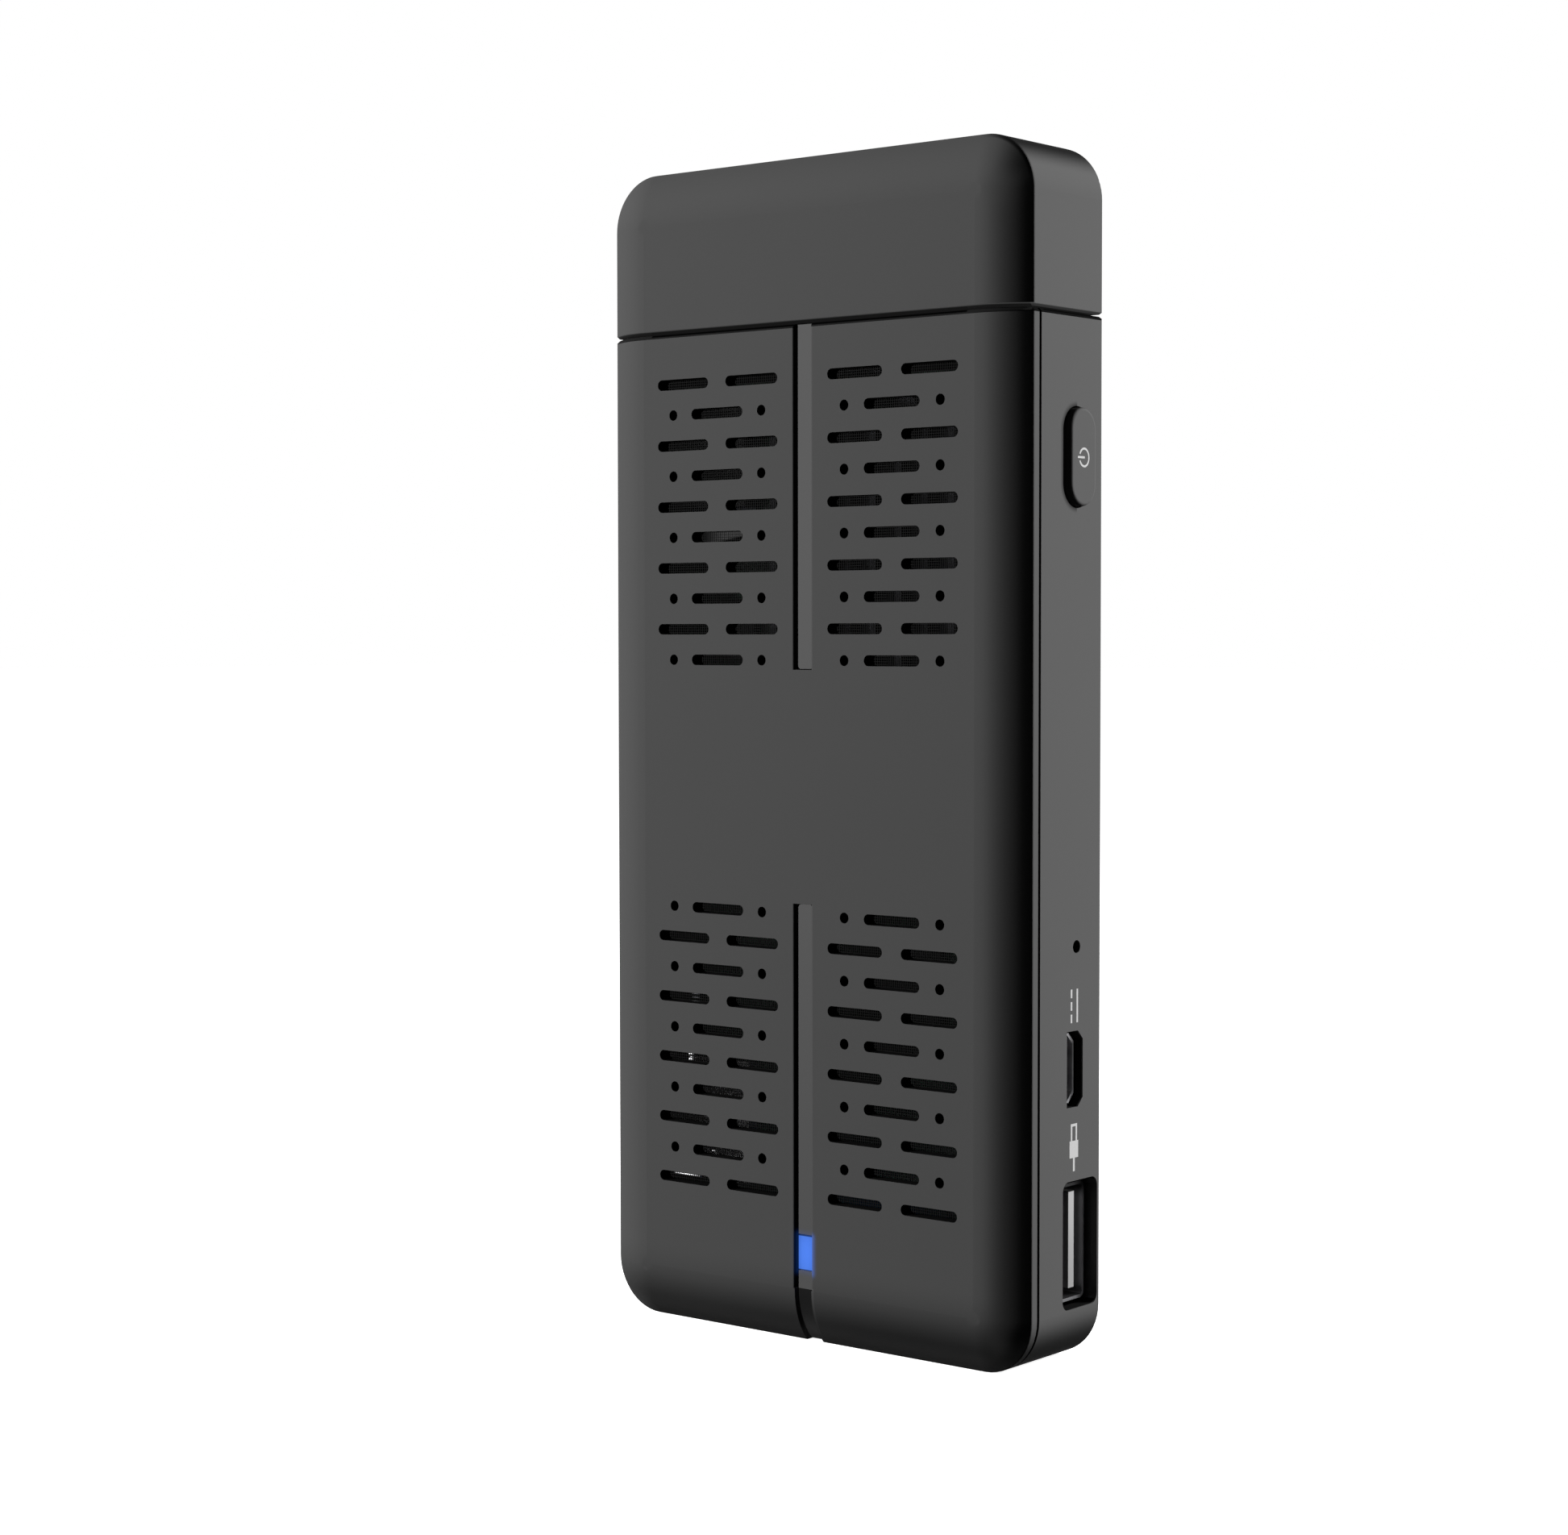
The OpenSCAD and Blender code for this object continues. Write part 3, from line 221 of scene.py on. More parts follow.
# light that the floor throws back on the foot of the case, more on its front corner
floorLift = {"z": (0.2 * mm, 2.4 * mm), "level": 0.0035, "cornerZ": (1.5 * mm, 5 * mm),
             "cornerX": (24 * mm, 27 * mm), "cornerY": -5.6 * mm, "corner": 0.0025}


def grooveLight(bench, x, z):
    low, high = grooveLift["z"]
    side = (bench.size(x) > grooveLift["sideX"]) * grooveLift["side"]
    level = bench.ramp(z, grooveLift["rise"], high) * grooveLift["high"] + side + grooveLift["low"]
    return level * (z > low) * (z < high)


def floorLight(bench, x, y, z):
    corner = bench.fall(z, *floorLift["cornerZ"]) * bench.ramp(x, *floorLift["cornerX"])
    corner = corner * (y < floorLift["cornerY"]) * floorLift["corner"]
    return bench.fall(z, *floorLift["z"]) * floorLift["level"] + corner


def caseGlow(bench):  # the blue is full to the right of the window and faint on the wall to its left
    x, y, z = bench.axes()
    wall = bench.ramp(y, frontY, windowLow.y) * spill["wall"] + spill["edge"]
    blue = blueSpill(bench, (x > 0) + (x < 0) * wall)
    pale = bench.tinted(grey(1), grooveLight(bench, x, z) + floorLight(bench, x, y, z))
    glowing(bench, bench.vectors("ADD", blue, pale))


# painted shade on the case, where it lies in shade: behind its flat front, in the cut-outs of its sides,
# in the groove under the cap and in the parting line
hollows = {"frontY": (-7.79 * mm, -7.66 * mm), "flatX": 22.8 * mm, "flatZ": (6.4 * mm, 129 * mm),
           "backY": 7.0 * mm, "sideX": (29.9 * mm, 30.15 * mm), "sideY": -3.5 * mm, "inside": 0.07,
           "grooveZ": 116.515 * mm, "grooveHalf": 0.435 * mm, "groove": 0.2, "grooveSide": 0.15,
           "partingY": -4.37 * mm, "partingHalf": 0.22 * mm, "parting": 0.02}
# where its sides begin behind the front's arc and end before the back
sideY = (-5.6 * mm, 7.6 * mm)
# towards the foot, with light thrown back at its very end
lowShade = {"sideZ": (2.6 * mm, 6.4 * mm), "side": 0.73, "frontZ": (2 * mm, 9.5 * mm), "front": 0.38,
            "rightX": (-20 * mm, 18 * mm), "right": 0.2, "cornerX": (25 * mm, 28.5 * mm),
            "bounceZ": (0.8 * mm, 3 * mm), "bounce": 0.7}
# on the cap's right shoulder, with a line where the front's arc meets the side
topShade = {"sideZ": (131.8 * mm, 134.7 * mm), "sideX": (15 * mm, 26.5 * mm), "side": 0.88,
            "cornerX": (25.5 * mm, 29.7 * mm), "cornerZ": (129 * mm, 132.3 * mm), "corner": 0.75,
            "lineY": (-5.95 * mm, -5.7 * mm), "lineX": (23 * mm, 26.5 * mm), "line": 0.8}
# along the front's right arc, more in its lower part
arcShade = {"x": (25 * mm, 28 * mm), "z": (5 * mm, 80 * mm), "dark": 0.2, "lower": 0.15,
            "foot": (3.5 * mm, 6 * mm), "top": (126 * mm, 130 * mm)}
# beside the button's front rim
buttonShade = {"reach": 0.85 * mm, "dark": 0.75, "flange": 1 * mm, "sideX": 30 * mm}
# painted highlight: a bright line to the right of the strip's foot, where the channel's edge catches the
# light
footRimHighlight = {"x": 1.42 * mm, "half": 0.14 * mm, "z": 6.6 * mm, "gain": 0.28}
buttonLow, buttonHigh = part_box("power_button")
buttonMiddle = (buttonLow + buttonHigh) / 2


# painted shade behind the flat front, in the side cut-outs, in the groove and in the parting line
def openings(bench, x, y, z):
    width = bench.size(x)
    level = (z > hollows["flatZ"][0]) * (z < hollows["flatZ"][1]) * (y < hollows["backY"])
    front = bench.ramp(y, *hollows["frontY"]) * (width < hollows["flatX"])
    side = bench.fall(width, *hollows["sideX"]) * (width > hollows["flatX"]) * (y > hollows["sideY"])
    groove = bench.size(z - hollows["grooveZ"]) < hollows["grooveHalf"]
    grooveTone = hollows["groove"] - (x > hollows["sideX"][0]) * hollows["grooveSide"]
    parting = (bench.size(y - hollows["partingY"]) < hollows["partingHalf"]) * (z < hollows["grooveZ"])
    tone = 1 - (front + side) * level * (1 - hollows["inside"])
    return tone * (1 - groove * (1 - grooveTone)) * (1 - parting * (1 - hollows["parting"]))


# painted shade towards the foot of the case, less at its very end
def footDark(bench, x, z, onFront, onSide):
    side = bench.fall(z, *lowShade["sideZ"]) * onSide * lowShade["side"]
    depth = bench.ramp(x, *lowShade["rightX"]) * lowShade["right"] + lowShade["front"]
    bounce = bench.fall(z, *lowShade["bounceZ"]) * lowShade["bounce"]
    return side + bench.fall(z, *lowShade["frontZ"]) * onFront * depth * (1 - bounce)


# painted shade on the cap's right shoulder and in a line along the edge of its front
def topDark(bench, x, y, z, onArc, onSide):
    shoulder = bench.ramp(z, *topShade["sideZ"]) * bench.ramp(x, *topShade["sideX"]) * topShade["side"]
    upper = bench.ramp(z, *topShade["cornerZ"])
    corner = bench.ramp(x, *topShade["cornerX"]) * upper * topShade["corner"]
    line = bench.ramp(y, *topShade["lineY"]) * bench.ramp(x, *topShade["lineX"]) * topShade["line"]
    return shoulder * onSide + (corner + (1 - corner) * line * upper) * onArc


# painted shade along the front's right arc
def arcDark(bench, x, z):
    ends = bench.ramp(z, *arcShade["foot"]) * bench.fall(z, *arcShade["top"])
    depth = bench.fall(z, *arcShade["z"]) * arcShade["lower"] + arcShade["dark"]
    return bench.ramp(x, *arcShade["x"]) * ends * depth


# painted shadow beside the button's front rim
def besideButton(bench, x, y, z):  # 1 at the button's front rim, fading over a short reach
    outer = (buttonHigh.y - buttonLow.y) / 2
    straight = buttonHigh.z - buttonMiddle.z - outer - buttonShade["flange"]
    along = bench.past(z - buttonMiddle.z, straight)
    across = y - buttonMiddle.y
    near = bench.fall(bench.reach(across, along), outer, outer + buttonShade["reach"])
    return near * (x > buttonShade["sideX"]) * (across < 0)


# the case's painted shade and painted highlight, as one factor on its colour
def casePaintedShading(bench):
    x, y, z = bench.axes()
    onArc = y < sideY[0]
    onSide = (y > sideY[0]) * (y < sideY[1])
    onFront = onArc * bench.fall(x, *lowShade["cornerX"])
    dark = footDark(bench, x, z, onFront, onSide) + topDark(bench, x, y, z, onArc, onSide)
    dark = dark + arcDark(bench, x, z) * onArc
    # painted highlight beside the strip's foot
    rim = (bench.size(x - footRimHighlight["x"]) < footRimHighlight["half"]) * (z < footRimHighlight["z"]) * onFront * footRimHighlight["gain"]
    button = 1 - besideButton(bench, x, y, z) * buttonShade["dark"]
    return openings(bench, x, y, z) * button * (1 - dark) * (rim + 1)


# the button's wall lies in its own shade: how far below its face the shade ends
buttonWall = {"rim": (0.3 * mm, 0.04 * mm), "dark": 0.75}


def buttonTone(bench):
    x, y, z = bench.axes()
    low, high = [buttonHigh.x - depth for depth in buttonWall["rim"]]
    return bench.ramp(x, low, high) * buttonWall["dark"] + (1 - buttonWall["dark"])


# painted light and shade: the strips are paler towards the top, with a painted shade line along their right
# edge, in the gap beside them
stripLight = {"z": (4 * mm, 80 * mm), "pale": 0.14, "edge": (0.09 * mm, 0.04 * mm), "line": 0.6}
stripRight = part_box("upper_strip")[1].x


def stripTone(bench):
    x, y, z = bench.axes()
    low, high = [stripRight - depth for depth in stripLight["edge"]]
    rise = bench.ramp(z, *stripLight["z"]) * stripLight["pale"] + (1 - stripLight["pale"])
    return rise * (1 - bench.ramp(x, low, high) * stripLight["line"])


# painted light: the strip's foot is paler where it turns under, for light thrown back from the floor
footLight = {"turnZ": (0.5 * mm, 5.5 * mm), "turn": 1.3, "endZ": (0.0, 3.6 * mm), "end": 1.4}


def footTone(bench):
    x, y, z = bench.axes()
    turning = bench.fall(z, *footLight["turnZ"]) * footLight["turn"] + 1
    return turning * (bench.fall(z, *footLight["endZ"]) * footLight["end"] + 1)


# painted shade: the tongue darkens downwards, at its upper end and into the socket
tongueLight = {"half": 5.45 * mm, "low": 0.76, "rise": 0.26,
               "end": (0.12 * mm, 0.04 * mm), "endDark": 0.92,
               "depth": (4 * mm, 0.3 * mm), "depthDark": 0.9}


def tongueTone(bench):
    x, y, z = bench.axes()
    low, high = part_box("usb_tongue")
    top = (low.z + high.z) / 2 + tongueLight["half"]
    end = bench.ramp(z, *[top - depth for depth in tongueLight["end"]]) * tongueLight["endDark"]
    tip = bench.ramp(x, *[high.x - depth for depth in tongueLight["depth"]]) * tongueLight["depthDark"]
    rise = bench.ramp(z, low.z, high.z) * tongueLight["rise"] + tongueLight["low"]
    return rise * (1 - end) * (tip + (1 - tongueLight["depthDark"]))


# the upper end and the front wall of the socket lie in the shade of the case
socketShade = {"upper": (2.2 * mm, 0.4 * mm), "upperDark": 0.92,
               "wall": (0.4 * mm, 0.8 * mm), "wallDark": 0.75}


def socketTone(bench):
    x, y, z = bench.axes()
    low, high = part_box("usb_shell")
    upper = bench.ramp(z, *[high.z - depth for depth in socketShade["upper"]]) * socketShade["upperDark"]
    wall = bench.fall(y, *[low.y + depth for depth in socketShade["wall"]]) * socketShade["wallDark"]
    return (1 - upper) * (1 - wall)


tapeLit = {"x": (-20 * mm, -16 * mm)}  # the tape is lit only towards its plug


def tapeTone(bench):
    x, y, z = bench.axes()
    return bench.ramp(x, *tapeLit["x"])


tails = {"fade": 1 * mm, "tailDark": 0.95}  # painted shade: the plug's contacts are darkened to near black below the end plate, inside the case


def tailTone(bench):
    x, y, z = bench.axes()
    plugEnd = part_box("end_plate")[0].z
    return bench.ramp(z, plugEnd, plugEnd + tails["fade"]) * tails["tailDark"] + (1 - tails["tailDark"])


plasticGrain = {"detail": 3.0, "cloud": 14 * mm, "grainRough": 0.16, "cloudRough": 0.08}


def mouldedPlastic(name, look, paintedShading=None, normal=None, glow=None):
    bench = newFinish(name, {"Specular IOR Level": look["specular"]})
    grain = bench.noise(look["grain"], plasticGrain["detail"])
    cloud = bench.noise(plasticGrain["cloud"])
    tone = cloud * look["cloud"] + grain * look["fleck"] + (1 - look["cloud"] / 2 - look["fleck"] / 2)
    # painted light and shade, as a factor on the tone
    if paintedShading:
        tone = tone * paintedShading(bench)
    middle = look["rough"] - (plasticGrain["grainRough"] + plasticGrain["cloudRough"]) / 2
    rough = grain * plasticGrain["grainRough"] + cloud * plasticGrain["cloudRough"] + middle
    turned = normal(bench) if normal else None
    if glow:
        glow(bench)
    return surface(bench, bench.tinted(look["colour"], tone), rough, grain, look["lift"], turned)


metalGrain = {"streak": 0.5 * mm, "detail": 4.0, "cloud": 3 * mm, "streakTone": 0.18, "cloudTone": 0.12,
              "base": 0.85, "streakRough": 0.15, "roughDrop": 0.07, "lift": 0.003 * mm}


def platedMetal(name, look, paintedShading=None):
    bench = newFinish(name, {"Metallic": 1.0})
    streaks = bench.noise(metalGrain["streak"], metalGrain["detail"], look["brush"])
    cloud = bench.noise(metalGrain["cloud"])
    tone = streaks * metalGrain["streakTone"] + cloud * metalGrain["cloudTone"] + metalGrain["base"]
    # painted light and shade, as a factor on the tone
    if paintedShading:
        tone = tone * paintedShading(bench)
    rough = streaks * metalGrain["streakRough"] + (look["rough"] - metalGrain["roughDrop"])
    return surface(bench, bench.tinted(look["colour"], tone), rough, streaks, metalGrain["lift"])


boardTracks = {"lean": 0.5, "lane": 0.45 * mm, "line": 0.55, "patch": 5 * mm, "patchFrom": 0.5,
               "grain": 0.2 * mm, "trackTone": 0.5, "grainTone": 0.2, "base": 0.8,
               "rough": 0.3, "grainRough": 0.2, "grainHeight": 0.1, "lift": 0.02 * mm}


def boardMask(name, colour):  # solder mask with the tracks showing through as lighter lines
    bench = newFinish(name)
    x, y, z = bench.axes()
    lane = bench.maths("PINGPONG", x + z * boardTracks["lean"], boardTracks["lane"]) / boardTracks["lane"]
    track = (lane > boardTracks["line"]) * (bench.noise(boardTracks["patch"]) > boardTracks["patchFrom"])
    grain = bench.noise(boardTracks["grain"])
    tone = track * boardTracks["trackTone"] + grain * boardTracks["grainTone"] + boardTracks["base"]
    rough = grain * boardTracks["grainRough"] + boardTracks["rough"]
    height = track + grain * boardTracks["grainHeight"]
    return surface(bench, bench.tinted(colour, tone), rough, height, boardTracks["lift"])


windowLook = {"base": (0.01, 0.02, 0.06, 1), "rough": 0.35, "specular": 0.02,
              "glow": (0.0725, 0.207, 0.812), "middle": 1.02, "alongFade": 0.12, "acrossFade": 0.16,
              "fleck": 0.4 * mm, "fleckTone": 0.04, "joint": (0.93, 0.97), "jointDark": 0.82}


def litWindow(name, look):  # brightest in its middle, with a dark joint at each end
    bench = newFinish(name, {"Base Color": look["base"], "Roughness": look["rough"],
                             "Specular IOR Level": look["specular"]})
    x, y, z = bench.axes()
    along = bench.size(z - windowMiddle.z) / windowHalf.z
    across = x / windowHalf.x
    fade = look["middle"] - along * along * look["alongFade"] - across * across * look["acrossFade"]
    fleck = bench.noise(look["fleck"]) * look["fleckTone"]
    joint = bench.ramp(along, *look["joint"]) * look["jointDark"]
    glowing(bench, bench.tinted(look["glow"], (fade + fleck) * (1 - joint)))
    return bench.material


plasticLook = {"colour": grey(0.1), "rough": 0.62, "specular": 0.001, "grain": 0.16 * mm,
               "cloud": 0.03, "fleck": 0.05, "lift": 0.004 * mm}
stripLook = dict(plasticLook, colour=grey(0.143), rough=0.5)
# the strip's foot is the strip's own plastic, painted darker as shade where it turns under
footLook = dict(stripLook, colour=grey(0.019), rough=0.4)
resinLook = dict(plasticLook, colour=(0.012, 0.012, 0.013), fleck=0.3, specular=0.4, rough=0.5)
tapeLook = dict(plasticLook, colour=grey(0.08), specular=0.02)
ledLook = dict(plasticLook, colour=(0.6, 0.6, 0.5), specular=0.3, rough=0.3)
caseFinish = mouldedPlastic("caseGreyPlastic", plasticLook, casePaintedShading, turnedEdges, caseGlow)
buttonFinish = mouldedPlastic("buttonPlastic", plasticLook, buttonTone)
stripFinish = mouldedPlastic("stripInlay", stripLook, stripTone, None, stripGlow)
footFinish = mouldedPlastic("stripFootDark", footLook, footTone)
neckFinish = mouldedPlastic("neckPlastic", dict(plasticLook, colour=grey(0.05)))
resinFinish = mouldedPlastic("chipResin", resinLook)
screenFinish = mouldedPlastic("screenWire", dict(plasticLook, colour=grey(0.016), specular=0.02))
tongueFinish = mouldedPlastic("socketTongue", dict(plasticLook, colour=grey(0.5)), tongueTone)
ledFinish = mouldedPlastic("ledBody", ledLook)
insertFinish = mouldedPlastic("plugInsert", dict(plasticLook, colour=grey(0.014), specular=0.4))
tapeFinish = mouldedPlastic("leadTape", tapeLook, tapeTone)
leadFinish = mouldedPlastic("leadSheath", dict(plasticLook, colour=grey(0.09), specular=0.1))
padFinish = mouldedPlastic("thermalPad", dict(plasticLook, colour=(0.26, 0.3, 0.36), fleck=0.2))
ceramicFinish = mouldedPlastic("ceramic", dict(plasticLook, colour=(0.3, 0.2, 0.12), specular=0.3))
filmFinish = mouldedPlastic("antennaFilm", dict(plasticLook, colour=(0.05, 0.035, 0.015), specular=0.4))
signFinish = mouldedPlastic("signInk", dict(plasticLook, colour=grey(0.51), fleck=0.12))
plungerFinish = mouldedPlastic("plungerResin", dict(plasticLook, colour=(0.25, 0.2, 0.14), specular=0.3))

socketLook = {"colour": (0.11, 0.11, 0.115), "rough": 0.42, "brush": (0.1, 1, 1)}
nickelLook = {"colour": (0.2, 0.2, 0.21), "rough": 0.32, "brush": (1, 1, 0.08)}
goldLook = {"colour": (0.8, 0.56, 0.22), "rough": 0.28, "brush": (1, 1, 0.2)}
darkLook = {"colour": (0.05, 0.05, 0.055), "rough": 0.5, "brush": (1, 1, 0.1)}
nickelFinish = platedMetal("nickelShell", nickelLook)
socketFinish = platedMetal("socketShell", socketLook, socketTone)
powerFinish = platedMetal("powerShell", dict(socketLook, colour=(0.3, 0.3, 0.31)))
springFinish = platedMetal("socketSpring", dict(socketLook, colour=(0.08, 0.075, 0.065)))
shieldFinish = platedMetal("shieldCan", dict(socketLook, colour=grey(0.1), rough=0.55))
tinFinish = platedMetal("tinCan", dict(socketLook, colour=(0.55, 0.55, 0.56)))
goldFinish = platedMetal("goldContact", goldLook)
plugGoldFinish = platedMetal("plugContact", goldLook, tailTone)
darkFinish = platedMetal("darkMetal", darkLook)

boardFinish = boardMask("boardMask", (0.012, 0.07, 0.035))
radioFinish = boardMask("radioMask", (0.01, 0.03, 0.1))
windowFinish = litWindow("blueWindow", windowLook)

finishes = {
    caseFinish: ["front_cover", "rear_cover", "cap"],
    buttonFinish: ["power_button"],
    neckFinish: ["end_plate"],
    stripFinish: ["upper_strip", "lower_strip"],
    footFinish: ["foot_strip"],
    windowFinish: ["led_window"],
    boardFinish: ["main_board"],
    radioFinish: ["wireless_module"],
    resinFinish: ["processor", "memory_chips", "storage_chip", "power_chip", "inductors", "power_switch",
                  "reset_switch"],
    padFinish: ["thermal_pad"],
    darkFinish: ["heat_sink", "board_screws"],
    ceramicFinish: ["capacitors"],
    tinFinish: ["crystal", "card_socket"],
    shieldFinish: ["wireless_shield"],
    filmFinish: ["antenna"],
    leadFinish: ["antenna_lead"],
    goldFinish: ["antenna_plug", "micro_usb_contacts"],
    plugGoldFinish: ["hdmi_contacts"],
    springFinish: ["usb_contacts"],
    tongueFinish: ["usb_tongue"],
    ledFinish: ["status_led"],
    plungerFinish: ["power_plunger", "reset_plunger"],
    nickelFinish: ["hdmi_shell"],
    socketFinish: ["usb_shell"],
    powerFinish: ["micro_usb_shell"],
    insertFinish: ["hdmi_insert", "micro_usb_tongue"],
}
for finish, names in finishes.items():
    for name in names:
        nodes[name].data.materials.clear()
        nodes[name].data.materials.append(finish)
print("finishes set:", len(finishes))


def newPiece(name, mesh, finish, body):
    piece = bpy.data.objects.new(name, mesh)
    scene.collection.objects.link(piece)
    if finish.name not in mesh.materials:
        mesh.materials.append(finish)
    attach(piece, body)
    return piece


def plainMesh(name, shape):
    mesh = bpy.data.meshes.new(name)
    shape.to_mesh(mesh)
    shape.free()
    return mesh


def prisms(outlines, x, thick):  # flat outlines in y and z, in mm, raised on a face that looks to +X
    shape = bmesh.new()
    for outline in outlines:
        low = [shape.verts.new((x - thick, y * mm, z * mm)) for y, z in outline]
        high = [shape.verts.new((x, y * mm, z * mm)) for y, z in outline]
        shape.faces.new(low)
        shape.faces.new(high)
        for k in range(len(outline)):
            after = (k + 1) % len(outline)
            shape.faces.new((low[k], low[after], high[after], high[k]))
    bmesh.ops.recalc_face_normals(shape, faces=shape.faces)
    return plainMesh("sign", shape)


def bar(y0, y1, z0, z1):
    return [(y0, z0), (y1, z0), (y1, z1), (y0, z1)]


signs = {"stand": 0.003 * mm, "thick": 0.03 * mm}  # how far the ink stands proud, and its thickness
# each sign's places in mm: z up from the foot, y from the middle of the case towards its back
powerSign = {"z": 100.71, "radius": 0.97, "line": 0.23, "squash": 0.94, "gap": 22, "steps": 48,
             "bar": (-1.25, 0.1)}
currentSign = {"z": (38.43, 42.16), "solid": (2.99, 3.29), "dashes": (1.84, 2.14), "count": 3,
               "dashGap": 0.43}
plugSign = {"z": 21.9, "y": 2.55, "lead": (0.36, 1.5), "body": (1.9, 1.7), "tip": (1.25, 1.9), "line": 0.3}


def powerOutlines(sign, y):  # a ring that opens towards the front, with a bar in its gap
    z = sign["z"]
    half = sign["line"] / 2
    start = 180 + sign["gap"]
    sweep = 360 - 2 * sign["gap"]
    turns = [math.radians(start + sweep * k / sign["steps"]) for k in range(sign["steps"] + 1)]

    def at(angle, radius):
        return (y + radius * sign["squash"] * math.cos(angle), z + radius * math.sin(angle))

    outer = [at(a, sign["radius"] + half) for a in turns]
    inner = [at(a, sign["radius"] - half) for a in reversed(turns)]
    return [outer + inner, bar(y + sign["bar"][0], y + sign["bar"][1], z - half, z + half)]


def currentOutlines(sign):  # a solid line beside a dashed one
    low, high = sign["z"]
    dash = (high - low - (sign["count"] - 1) * sign["dashGap"]) / sign["count"]
    starts = [low + k * (dash + sign["dashGap"]) for k in range(sign["count"])]
    return [bar(*sign["solid"], low, high)] + [bar(*sign["dashes"], z, z + dash) for z in starts]


def plugOutlines(sign):  # a plain plug: its lead, its grip and its open end
    y = sign["y"]
    grip = sign["z"] + sign["lead"][1]
    end = grip + sign["body"][0]
    tip = end + sign["tip"][1]
    halfTip = sign["tip"][0] / 2
    inTip = halfTip - sign["line"]
    return [bar(y - sign["lead"][0] / 2, y + sign["lead"][0] / 2, sign["z"], grip),
            bar(y - sign["body"][1] / 2, y + sign["body"][1] / 2, grip, end),
            bar(y - halfTip, y - inTip, end, tip),
            bar(y + inTip, y + halfTip, end, tip),
            bar(y - inTip, y + inTip, tip - sign["line"], tip)]


def newSign(name, outlines, faceX, body):
    newPiece(name, prisms(outlines, faceX + signs["stand"], signs["thick"]), signFinish, body)


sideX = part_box("rear_cover")[1].x
newSign("power_sign", powerOutlines(powerSign, buttonMiddle.y / mm), buttonHigh.x, "power_button")
newSign("current_sign", currentOutlines(currentSign), sideX, "case")
newSign("plug_sign", plugOutlines(plugSign), sideX, "case")
print("signs made")

barShape = {"sides": 16, "end": 0.55, "dome": 0.5}


def roundBars(bars):  # bars along X, in mm: start, end, y, z and radius, with domed ends
    sides = barShape["sides"]
    turns = [2 * math.pi * k / sides for k in range(sides)]
    shape = bmesh.new()

    def loop(x, y, z, radius):
        spots = [(x, y + radius * math.sin(a), z + radius * math.cos(a)) for a in turns]
        return [shape.verts.new([part * mm for part in spot]) for spot in spots]

    for start, end, y, z, radius in bars:
        tip = radius * barShape["end"]
        dome = radius * barShape["dome"]
        rings = [(start, tip), (start + dome, radius), (end - dome, radius), (end, tip)]
        loops = [loop(x, y, z, size) for x, size in rings]
        for near, far in zip(loops, loops[1:]):
            for k in range(sides):
                shape.faces.new((near[k], near[k - 1], far[k - 1], far[k]))
        shape.faces.new(loops[0])
        shape.faces.new(loops[-1])
    bmesh.ops.recalc_face_normals(shape, faces=shape.faces)
    mesh = plainMesh("bars", shape)
    mesh.shade_smooth()
    return mesh


# bright metal of the card socket that shows through the lower left vents, in mm: its edge, clips and tab
glints = {"edgeX": (-24.6, -20.4), "edgeR": 0.15, "clipX": (-22.3, -21.3), "clipZ": (30.3, 30.95),
          "clipR": 0.33, "tabX": (-18.7, -18.1), "tabZ": 19.6, "tabR": 0.08}
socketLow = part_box("card_socket")[0]
socketY = socketLow.y / mm
springs = [(*glints["edgeX"], socketY, socketLow.z / mm, glints["edgeR"]),
           (*glints["tabX"], socketY, glints["tabZ"], glints["tabR"])]
springs += [(*glints["clipX"], socketY, z, glints["clipR"]) for z in glints["clipZ"]]
newPiece("card_socket_edges", roundBars(springs), tinFinish, "case")

# three dark leads of a small part on the board, in mm
partLeads = {"x": (-23.06, -21.65), "z": 37.6, "pitch": 0.44, "radius": 0.11, "steps": (-1, 0, 1)}
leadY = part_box("main_board")[0].y / mm - partLeads["radius"]
leads = [(*partLeads["x"], leadY, partLeads["z"] + k * partLeads["pitch"], partLeads["radius"])
         for k in partLeads["steps"]]
newPiece("small_part_leads", roundBars(leads), darkFinish, "case")

# tape wrapped round the antenna lead beside its plug, in mm from the plug's middle
tape = {"start": -1.3, "end": -12.0, "thick": 1.5, "height": 1.84, "edge": 0.3, "rounds": 4, "profile": 0.5,
        "slope": 9}


def tapeMesh():
    size = (tape["start"] - tape["end"], tape["thick"], tape["height"])
    middle = ((tape["start"] + tape["end"]) / 2 * mm, 0, 0)
    shape = bmesh.new()
    bmesh.ops.create_cube(shape, size=mm)
    bmesh.ops.scale(shape, vec=size, verts=shape.verts)
    bmesh.ops.translate(shape, vec=middle, verts=shape.verts)
    bmesh.ops.bevel(shape, geom=shape.edges[:], offset=tape["edge"] * mm, segments=tape["rounds"],
                    profile=tape["profile"], affect="EDGES")
    mesh = plainMesh("tape", shape)
    plug = sum(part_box("antenna_plug"), Vector()) / 2
    lead = sum(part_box("antenna_lead"), Vector()) / 2
    slope = Matrix.Rotation(math.radians(-tape["slope"]), 4, "Y")
    mesh.transform(Matrix.Translation((plug.x, lead.y, plug.z)) @ slope)
    return mesh


newPiece("lead_tape", tapeMesh(), tapeFinish, "case")
print("small parts behind the vents made")

screen = {"pitch": 0.3 * mm, "wire": 0.065 * mm}


